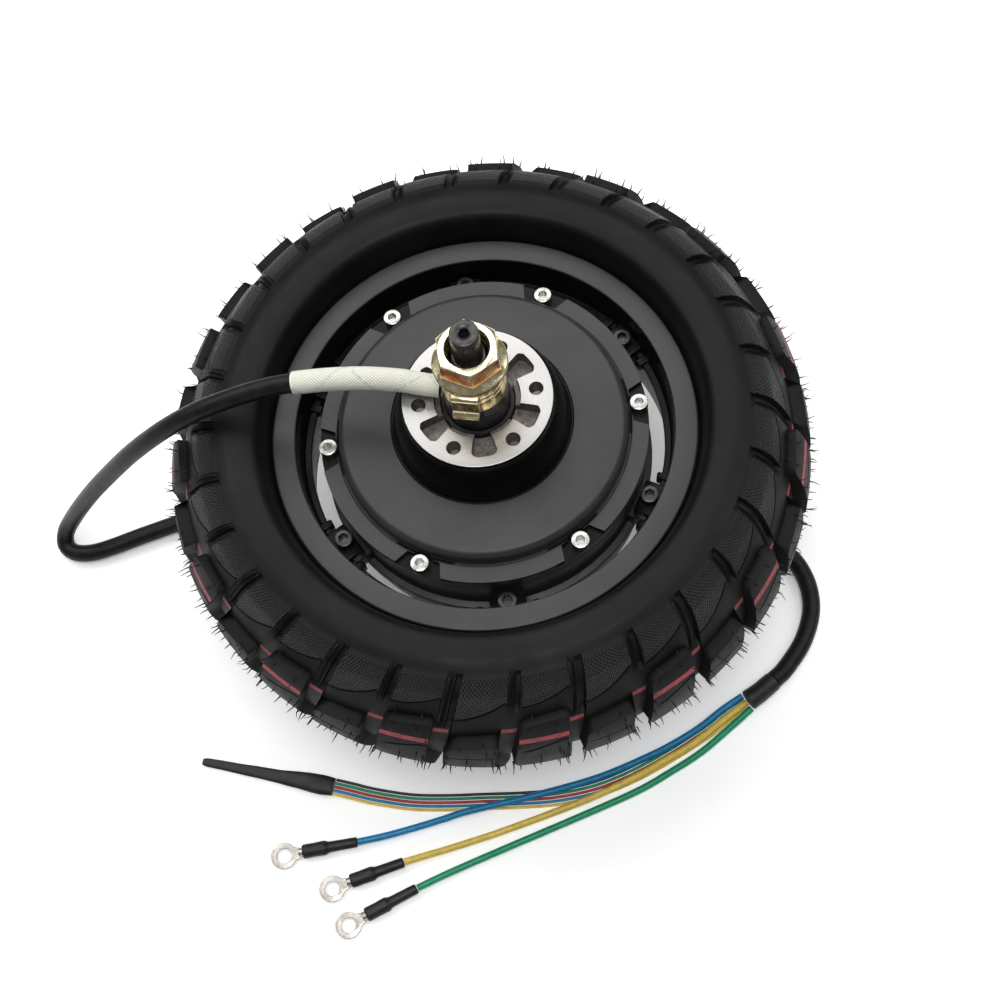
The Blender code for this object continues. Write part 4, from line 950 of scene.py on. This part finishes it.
YELLOW_ROUTE = [(90.4, -98.6, -71.4), (80.0, -104.2, -71.8), (65.6, -112.4, -72.05), (54.0, -117.2, -72.05),
                (41.5, -122.2, -72.05), (24.0, -127.8, -72.05), (7.3, -131.8, -73.0), (-18.3, -137.3, -73.4),
                (-39.4, -141.0, -73.4), (-49.0, -142.5, -72.9), (-58.4, -144.1, -72.3)]
GREEN_ROUTE = [(91.8, -101.5, -71.4), (82.0, -107.8, -72.6), (68.4, -116.2, -73.4), (55.0, -122.4, -73.4),
               (40.0, -128.4, -73.4), (15.5, -135.4, -73.4), (-10.5, -142.4, -73.4), (-31.0, -148.0, -73.4),
               (-44.0, -151.8, -72.9), (-54.2, -155.2, -72.3)]
PHASES = {"blue": (BLUE_ROUTE, (-99.8, -134.3)), "yellow": (YELLOW_ROUTE, (-82.2, -149.1)),
          "green": (GREEN_ROUTE, (-75.8, -163.0))}
HALL_ROUTE = [(89.9, -97.7, -73.7), (80.0, -102.6, -74.0), (72.8, -106.9, -74.25), (56.0, -114.7, -74.25),
              (39.4, -121.0, -74.25), (23.4, -125.0, -74.25), (7.9, -126.2, -74.25), (-7.3, -125.4, -74.25),
              (-22.5, -123.8, -74.25), (-37.8, -122.2, -74.25), (-53.1, -119.8, -74.1), (-68.3, -115.4, -73.6),
              (-77.5, -111.9, -73.1), (-84.4, -109.3, -72.9)]
HALL_SPACING = 1.5
SHEATH_START = (-84.9, -109.2)
SHEATH_END = (-139.4, -90.5)
BOOT_Z = -72.3
BOOT_LENGTH = 22.8


def cord(name, route, diameter, material, spacing, body, nodes):
    """A round cord as one curve along a smooth route."""
    route = smooth_route(route, spacing)
    curve = bpy.data.curves.new(name, "CURVE")
    curve.dimensions = "3D"
    curve.bevel_depth = diameter / 2 * MM
    curve.bevel_resolution = 6
    curve.use_fill_caps = True
    curve.materials.append(material)
    spline = curve.splines.new("POLY")
    spline.points.add(len(route) - 1)
    for point, place in zip(spline.points, route):
        point.co = (*(place * MM), 1.0)
    spline.use_smooth = True
    obj = piece(name, curve, body, *nodes)
    return obj


def make_cable(jacket, braid, shrink):
    sleeve_route = smooth_route(SLEEVE_ROUTE, 0.8)
    sleeve = swept("sleeve_braid", sleeve_route, ((0.0, 4.3), (0.5, 4.4), (0.985, 4.4), (1.0, 4.25)), (braid,), 64, 3.9)
    sleeve = piece("sleeve_braid", sleeve, "stator", "cable_sleeve")
    collar_route = smooth_route(COLLAR_ROUTE, 0.6)
    collar = swept("collar_shrink", collar_route, ((0.0, 3.85), (0.05, 4.15), (0.5, 4.2), (0.9, 4.35), (0.98, 4.5), (1.0, 4.3)),
                   (shrink,), 40)
    collar = piece("collar_shrink", collar, "stator", "jacket_collar")
    cord("motor_cable", SLEEVE_ROUTE[:-1] + CABLE_ROUTE, 7.6, jacket, 2.0, "stator", ("cable",))


def boot_mesh():
    rows = rounded([(0.0, 0.0), (2.2, 0.0, 0.2), (2.55, 0.7, 0.4), (2.45, 4.5, 1.0), (2.6, 9.4, 0.5), (1.95, 10.9, 0.6),
                    (1.85, 16.0), (1.8, 22.4, 0.3), (1.5, BOOT_LENGTH), (0.0, BOOT_LENGTH)], False)
    mesh = revolve("boot", [(r, -z) for r, z in rows], (), 40, loop=False)
    mesh.transform(Matrix.Diagonal((1.0, 1.16, 1.0, 1.0)))
    mesh.transform(Matrix.Translation((BOOT_LENGTH * MM, 0, 0)) @ Matrix.Rotation(math.pi / 2, 4, "Y"))
    return mesh


def terminal_mesh():
    ring = [(7.9 + x, y) for x, y in arc(5.3, -146, 146, 56)]
    outline = [(-0.4, -1.5), (1.2, -2.1), (2.6, -2.5), *ring, (2.6, 2.5), (1.2, 2.1), (-0.4, 1.5)]
    hole = [(7.9 + x, y) for x, y in arc(3.0, 360, 10, 48)]
    blade = plate("blade", outline, -1.8, -1.0, [hole], 0.16)
    rows = rounded([(0.0, 0.0), (1.75, 0.0, 0.2), (1.75, 7.6, 0.6), (1.0, 8.4), (0.0, 8.4)], False)
    barrel = revolve("barrel", [(r, -z) for r, z in rows], (), 32, loop=False)
    barrel.transform(Matrix.Translation((1.4 * MM, 0, 0)) @ Matrix.Rotation(-math.pi / 2, 4, "Y") @ Matrix.Rotation(math.pi, 4, "X"))
    mesh = carve(blade, barrel, add=True)
    sharpen(mesh, 45)
    return mesh


def make_wires(finishes, shrink, tin):
    boot, terminal = boot_mesh(), terminal_mesh()
    for colour, (route, far) in PHASES.items():
        turn = math.degrees(math.atan2(far[1] - route[-1][1], far[0] - route[-1][0]))
        x, y, _ = route[-1]
        for name, shape, along, coat, node in ((f"boot_{colour}", boot, 0.3, shrink, f"phase_boot_{colour}"),
                                              (f"lug_{colour}", terminal, BOOT_LENGTH + 0.6, tin, f"ring_terminal_{colour}")):
            dx, dy = polar(along, turn)
            mesh = shape.copy()
            mesh.materials.clear()
            mesh.materials.append(coat)
            mesh.transform(Matrix.Translation(((x + dx) * MM, (y + dy) * MM, BOOT_Z * MM)) @ Matrix.Rotation(math.radians(turn), 4, "Z"))
            sharpen(mesh, 45)
            piece(name, mesh, "stator", node)
        cord(f"phase_{colour}", route, 2.9, finishes[colour], 2.0, "stator",
             (f"phase_wire_{colour}",))
    sheath = make_sheath(shrink)
    for index, colour in enumerate(("black", "green", "red", "blue", "yellow")):
        side = (index - 2) * HALL_SPACING
        route = []
        for k, (x, y, z) in enumerate(HALL_ROUTE):
            back, ahead = HALL_ROUTE[max(k - 1, 0)], HALL_ROUTE[min(k + 1, len(HALL_ROUTE) - 1)]
            turn = math.atan2(ahead[1] - back[1], ahead[0] - back[0])
            route.append((x - side * math.sin(turn), y + side * math.cos(turn), z))
        cord(f"hall_{colour}", route, 1.2, finishes[colour], 2.0, "stator", (f"hall_wire_{colour}",))


def make_sheath(shrink):
    """Heat-shrink over the hall connector: full over the plug, pressed flat towards its open tip."""
    length = math.dist(SHEATH_START, SHEATH_END)
    stations = np.linspace(0.0, 1.0, 44)
    half_width = np.interp(stations * length, (0, 5, 10, 24, 42, length - 1.5, length), (3.7, 4.2, 4.0, 2.8, 2.15, 1.8, 1.3))
    half_height = np.interp(stations * length, (0, 1, 10, 16, 26, length), (1.5, 1.75, 1.78, 1.45, 1.0, 0.8))
    turn = around(40)
    c, s = np.cos(turn), np.sin(turn)
    rows = []
    for share, wide, high in zip(stations, half_width, half_height):
        wrinkle = 1 + 0.02 * np.sin(5 * turn + 21 * share)
        y = wide * np.sign(c) * np.abs(c) ** 0.7 * wrinkle
        z = high * np.sign(s) * np.abs(s) ** 0.8
        rows.append(np.stack([np.full_like(y, share * length), y, z + high - 74.85], -1))
    rows = [rows[0] * (1, 0, 0) + (0, 0, -73.1), *rows, rows[-1] * (1, 0, 0) + (0, 0, -74.05)]
    mesh = grid_mesh("hall_shrink", np.array(rows), (shrink,), wrap_rows=False)
    weld(mesh)
    heading = math.atan2(SHEATH_END[1] - SHEATH_START[1], SHEATH_END[0] - SHEATH_START[0])
    mesh.transform(Matrix.Translation((SHEATH_START[0] * MM, SHEATH_START[1] * MM, 0)) @ Matrix.Rotation(heading, 4, "Z"))
    sharpen(mesh, 50)
    return piece("hall_shrink", mesh, "stator", "hall_sheath")


# ---------------------------------------------------------------- moulding hairs of the tyre
def make_hairs(rubber):
    """The fine rubber hairs that a tyre's mould leaves at the edges of its blocks."""
    random = np.random.default_rng(11)
    roots = []
    for cell in range(2 * REPEATS):
        for side in (1, -1):
            short = (cell % 2 == 1) == (side == 1)
            edges = (BLOCK[0] + 0.2, BLOCK[1] - 0.2)
            limit = 21.0 if short else 38.0
            spots = [(edges[k % 2], a) for k, a in enumerate(np.arange(2.0, limit, 5.2))]
            spots += [(s, limit - 1.5) for s in (1.2, 5.6)]
            spots += [(3.4, 7.0), (6.6, 13.0)]
            spots += [(5.3, 28.0)] if short else [(0.8, 45.5), (6.0, 46.0)]
            for s, across in spots:
                around_at = TREAD_START + cell * CELL + s + LEAN * across + random.uniform(-0.4, 0.4)
                roots.append((around_at, side * (across + random.uniform(-1.0, 1.0)), random.uniform(2.3, 3.9)))
    vertices, faces = [], []
    for around_at, across, length in roots:
        r, z, normal_r, normal_z = crown(across)
        sink = shoulder_depth(abs(across)) if abs(across) > 41 else 0.3
        out = Vector((*polar(normal_r, around_at), normal_z)).normalized()
        root = Vector((*polar(r, around_at), z)) - out * sink
        lean = Vector(random.normal(0.0, 0.22, 3))
        side_a = out.cross(Vector((0.3, 0.2, 1.0))).normalized()
        side_b = out.cross(side_a)
        base = len(vertices)
        for share, thick in ((-0.1, 0.34), (0.45, 0.24), (1.0, 0.12)):
            middle = root + out * length * share + lean * length * max(share, 0) ** 2
            for k in range(4):
                c, s = polar(thick, 90 * k)
                vertices.append((middle + side_a * c + side_b * s) * MM)
        for level in (0, 4):
            faces += [(base + level + k, base + level + (k + 1) % 4, base + level + 4 + (k + 1) % 4, base + level + 4 + k)
                      for k in range(4)]
        faces += [(base + 3, base + 2, base + 1, base), (base + 8, base + 9, base + 10, base + 11)]
    mesh = bpy.data.meshes.new("tyre_hairs")
    mesh.from_pydata(vertices, [], faces)
    mesh.materials.append(rubber)
    mesh.shade_smooth()
    obj = piece("tyre_hairs", mesh, "wheel")
    return obj


# ---------------------------------------------------------------- the other materials
def casting_material(name, colour, roughness, grain=0.06, gleam=0.35):
    """Painted casting: fine grain, faint marks, and handling marks that change only its gloss."""
    made = Nodes(name, colour, roughness, Specular_IOR_Level=gleam)
    marks = made.spread(made.noise(0.05, 6.0, roughness=0.7), 0.42, 0.72)
    made.tint(marks, tuple(1.45 * c for c in colour))
    made.rough(made.noise(0.10, 5.0, roughness=0.7), roughness - 0.05, roughness + 0.10)
    made.bump(made.noise(1.6, 4.0), grain, 0.7)
    return made.material


def turned_material(name, colour, roughness, metallic=1.0, lines=7.0, depth=0.012):
    """Metal finished on a lathe: fine rings about the axis."""
    made = Nodes(name, colour, roughness, metallic, Anisotropic=0.55)
    split = made.node("SeparateXYZ", {0: made.coordinates()})
    square = made.maths("ADD", made.maths("POWER", split.outputs[0], 2.0), made.maths("POWER", split.outputs[1], 2.0))
    radius = made.maths("SQRT", square)
    rings = made.node("TexNoise", {"W": radius, "Scale": lines, "Detail": 5.0}, noise_dimensions="1D").outputs["Fac"]
    tangent = made.node("Tangent", direction_type="RADIAL", axis="Z")
    made.tree.links.new(tangent.outputs[0], made.shader.inputs["Tangent"])
    made.tint(made.spread(rings, 0.3, 0.7), tuple(0.80 * c for c in colour))
    made.rough(rings, roughness - 0.05, roughness + 0.12)
    made.bump(rings, depth, 0.8)
    return made.material


def metal_material(name, colour, roughness, stain, scale=0.25, depth=0.02, metallic=1.0):
    made = Nodes(name, colour, roughness, metallic)
    made.tint(made.spread(made.noise(scale, 6.0, roughness=0.65), 0.38, 0.72), stain)
    made.rough(made.noise(scale * 3, 4.0), roughness - 0.06, roughness + 0.12)
    made.bump(made.noise(2.4, 3.0), depth, 0.7)
    return made.material


def zinc_material(name, upright_shade_colour):
    """Yellow passivated zinc: pale gold where it lies flat, with a painted shade on upright faces, darker and redder,
    in faint patches.
    """
    made = Nodes(name, (0.93, 0.83, 0.52), 0.22, 1.0)
    upright = made.node("SeparateXYZ", {0: made.node("TexCoord").outputs["Normal"]}).outputs[2]
    slope = made.spread(made.maths("ABSOLUTE", upright), 0.10, 0.40, 1.0, 0.0)
    shade_patches = made.spread(made.noise(0.16, 4.0), 0.30, 0.58)
    # Painted shade: upright faces take the darker, redder colour, in patches.
    upright_shaded = made.tint(made.maths("MULTIPLY", slope, shade_patches), upright_shade_colour)
    made.tint(made.spread(made.noise(0.22, 5.0), 0.60, 0.80), (0.58, 0.56, 0.28), upright_shaded)
    made.rough(made.noise(0.5, 4.0), 0.14, 0.30)
    made.bump(made.noise(1.4, 4.0), 0.03, 0.6)
    return made.material


def rubber_like(name, colour, roughness, scale=0.5, depth=0.04, other=1.8, **sockets):
    made = Nodes(name, colour, roughness, **sockets)
    made.tint(made.spread(made.noise(scale, 4.0), 0.40, 0.75), tuple(min(1.0, other * c) for c in colour))
    made.rough(made.noise(scale * 2, 4.0), roughness - 0.07, roughness + 0.09)
    made.bump(made.noise(scale * 5, 3.0), depth, 0.6)
    return made.material


def braid_material():
    """White glass-fibre braid with two thin coloured tracers."""
    made = Nodes("braid_white", (0.80, 0.80, 0.70), 0.62)
    split = made.node("SeparateXYZ", {0: made.node("UVMap", uv_map="laid_out").outputs[0]})
    strands, climb = 22.0, 0.72
    waves = []
    for sign in (1.0, -1.0):
        round_it = made.maths("MULTIPLY", split.outputs[0], strands)
        slanted = made.maths("MULTIPLY_ADD", split.outputs[1], sign * climb, round_it)
        waves.append(made.maths("ABSOLUTE", made.maths("SINE", made.maths("MULTIPLY", slanted, math.pi))))
    weave = made.maths("MULTIPLY", *waves)
    shaded = made.tint(made.spread(weave, 0.25, 0.0), (0.42, 0.43, 0.36))
    broken = made.spread(made.noise(0.35, 3.0), 0.42, 0.58)
    for tint, pitch, at in (((0.16, 0.42, 0.36), 31.0, 0.2), ((0.18, 0.34, 0.48), -29.0, 0.6)):
        climbed = made.maths("MULTIPLY_ADD", split.outputs[1], 1 / pitch, split.outputs[0])
        share = made.maths("FRACT", made.maths("ADD", climbed, at))
        near = made.maths("ABSOLUTE", made.maths("SUBTRACT", share, 0.5))
        line = made.maths("MULTIPLY", made.spread(near, 0.014, 0.034, 0.6, 0.0), made.spread(weave, 0.1, 0.4))
        line = made.maths("MULTIPLY", line, broken)
        shaded = made.tint(line, tint, shaded)
    made.bump(weave, 0.22, 0.9)
    return made.material


def stacked_material(name, colour, roughness, pitch, metallic, axis=2, other=0.6):
    """Sheets or strands side by side, at this pitch."""
    made = Nodes(name, colour, roughness, metallic)
    place = made.node("SeparateXYZ", {0: made.coordinates()}).outputs[axis]
    wave = made.maths("ABSOLUTE", made.maths("SINE", made.maths("MULTIPLY", place, math.pi / pitch)))
    made.tint(made.spread(wave, 0.3, 0.0), tuple(other * c for c in colour))
    made.bump(wave, 0.08, 0.8)
    return made.material


def finish_hidden(oxide, zinc, rubber):
    """The pieces inside the motor keep their CAD shapes, in materials of their own."""
    steel = turned_material("bearing_steel", (0.62, 0.62, 0.62), 0.20)
    finishes = {
        "stator_core": stacked_material("laminations", (0.22, 0.23, 0.24), 0.42, 0.5, 0.8),
        "windings": stacked_material("enamelled_copper", (0.52, 0.17, 0.05), 0.32, 0.55, 0.5),
        "stator_hub": metal_material("cast_spider", (0.50, 0.50, 0.49), 0.48, (0.36, 0.36, 0.35)),
        "hall_board": rubber_like("circuit_green", (0.015, 0.12, 0.05), 0.38, 0.8, 0.02),
        "lead_bundle": rubber, "rotor_yoke": metal_material("yoke_steel", (0.30, 0.30, 0.30), 0.45, (0.18, 0.17, 0.16)),
        "magnet_ring": metal_material("magnet_nickel", (0.55, 0.54, 0.52), 0.28, (0.42, 0.41, 0.38)),
        "front_bearing_cage": metal_material("cage_brass", (0.60, 0.45, 0.22), 0.35, (0.42, 0.30, 0.14)),
        "front_seal": rubber, "rear_seal": rubber, "rear_tab_washer": zinc,
    }
    finishes["rear_bearing_cage"] = finishes["front_bearing_cage"]
    for end in ("front", "rear"):
        for race in ("inner", "outer"):
            finishes[f"{end}_bearing_{race}_race"] = steel
    for node, finish in finishes.items():
        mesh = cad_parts[node].data
        mesh.materials.clear()
        mesh.materials.append(finish)


make_camera()
make_floor()
make_light()

rubber = rubber_like("rubber_plain", (0.010, 0.010, 0.0105), 0.5, Specular_IOR_Level=0.3)
casting = casting_material("painted_casting", (0.028, 0.027, 0.028), 0.40)
# Near-black gloss: the bell's own black round the cover's face, and painted shade on the rim's inner wall and in the
# notches by the cover screws.
gloss = casting_material("gloss_black_and_recess_shade", (0.004, 0.004, 0.004), 0.26, 0.03, 0.10)
# The second colour is the painted shade, darker and redder, on the upright faces.
zinc = zinc_material("yellow_passivate", (0.82, 0.27, 0.10))
pale_zinc = zinc_material("pale_passivate", (0.84, 0.62, 0.28))
oxide = metal_material("black_oxide", (0.035, 0.035, 0.037), 0.30, (0.075, 0.07, 0.065), 0.4, 0.02, 0.7)
shrink = rubber_like("heat_shrink", (0.012, 0.012, 0.013), 0.42, 0.3, 0.08, Specular_IOR_Level=0.3)
wires = {
    "blue": rubber_like("wire_blue", (0.003, 0.22, 0.46), 0.36, 0.4, 0.03, 0.7),
    "yellow": rubber_like("wire_yellow", (0.78, 0.57, 0.10), 0.36, 0.4, 0.03, 0.75),
    "green": rubber_like("wire_green", (0.002, 0.29, 0.14), 0.36, 0.4, 0.03, 0.7),
    "red": rubber_like("wire_red", (0.50, 0.03, 0.03), 0.36, 0.4, 0.03, 0.7),
    "black": rubber_like("wire_black", (0.014, 0.014, 0.015), 0.36, 0.4, 0.03),
}

jacket = rubber_like("cable_jacket", (0.009, 0.009, 0.0095), 0.36, 0.25, 0.02, Specular_IOR_Level=0.14)
make_cable(jacket, braid_material(), shrink)
make_wires(wires, shrink, metal_material("tinned_copper", (0.50, 0.47, 0.43), 0.34, (0.26, 0.24, 0.21), 0.5))
make_tyre(rubber_material("tyre_tread", (0.006, 0.006, 0.0065), 0.50, 0.11), knurl_material(), stripe_material(),
          rubber_material("tyre_sidewall", (0.005, 0.005, 0.0055), 0.42, 0.13))
make_hairs(rubber)
make_rim(casting, gloss)
make_valve(rubber, metal_material("cap_plastic", (0.02, 0.02, 0.02), 0.4, (0.03, 0.03, 0.03), metallic=0.0))
make_cover(casting, turned_material("machined_face", (0.42, 0.41, 0.40), 0.31),
           metal_material("raw_casting", (0.22, 0.205, 0.19), 0.55, (0.08, 0.07, 0.065), 0.5, 0.12, 0.6), gloss)
make_casing(casting)
make_screws(metal_material("stainless", (0.50, 0.49, 0.47), 0.28, (0.30, 0.29, 0.27), 0.5), oxide)
make_axle(oxide)
make_hardware(zinc, pale_zinc, oxide)
finish_hidden(oxide, zinc, rubber)
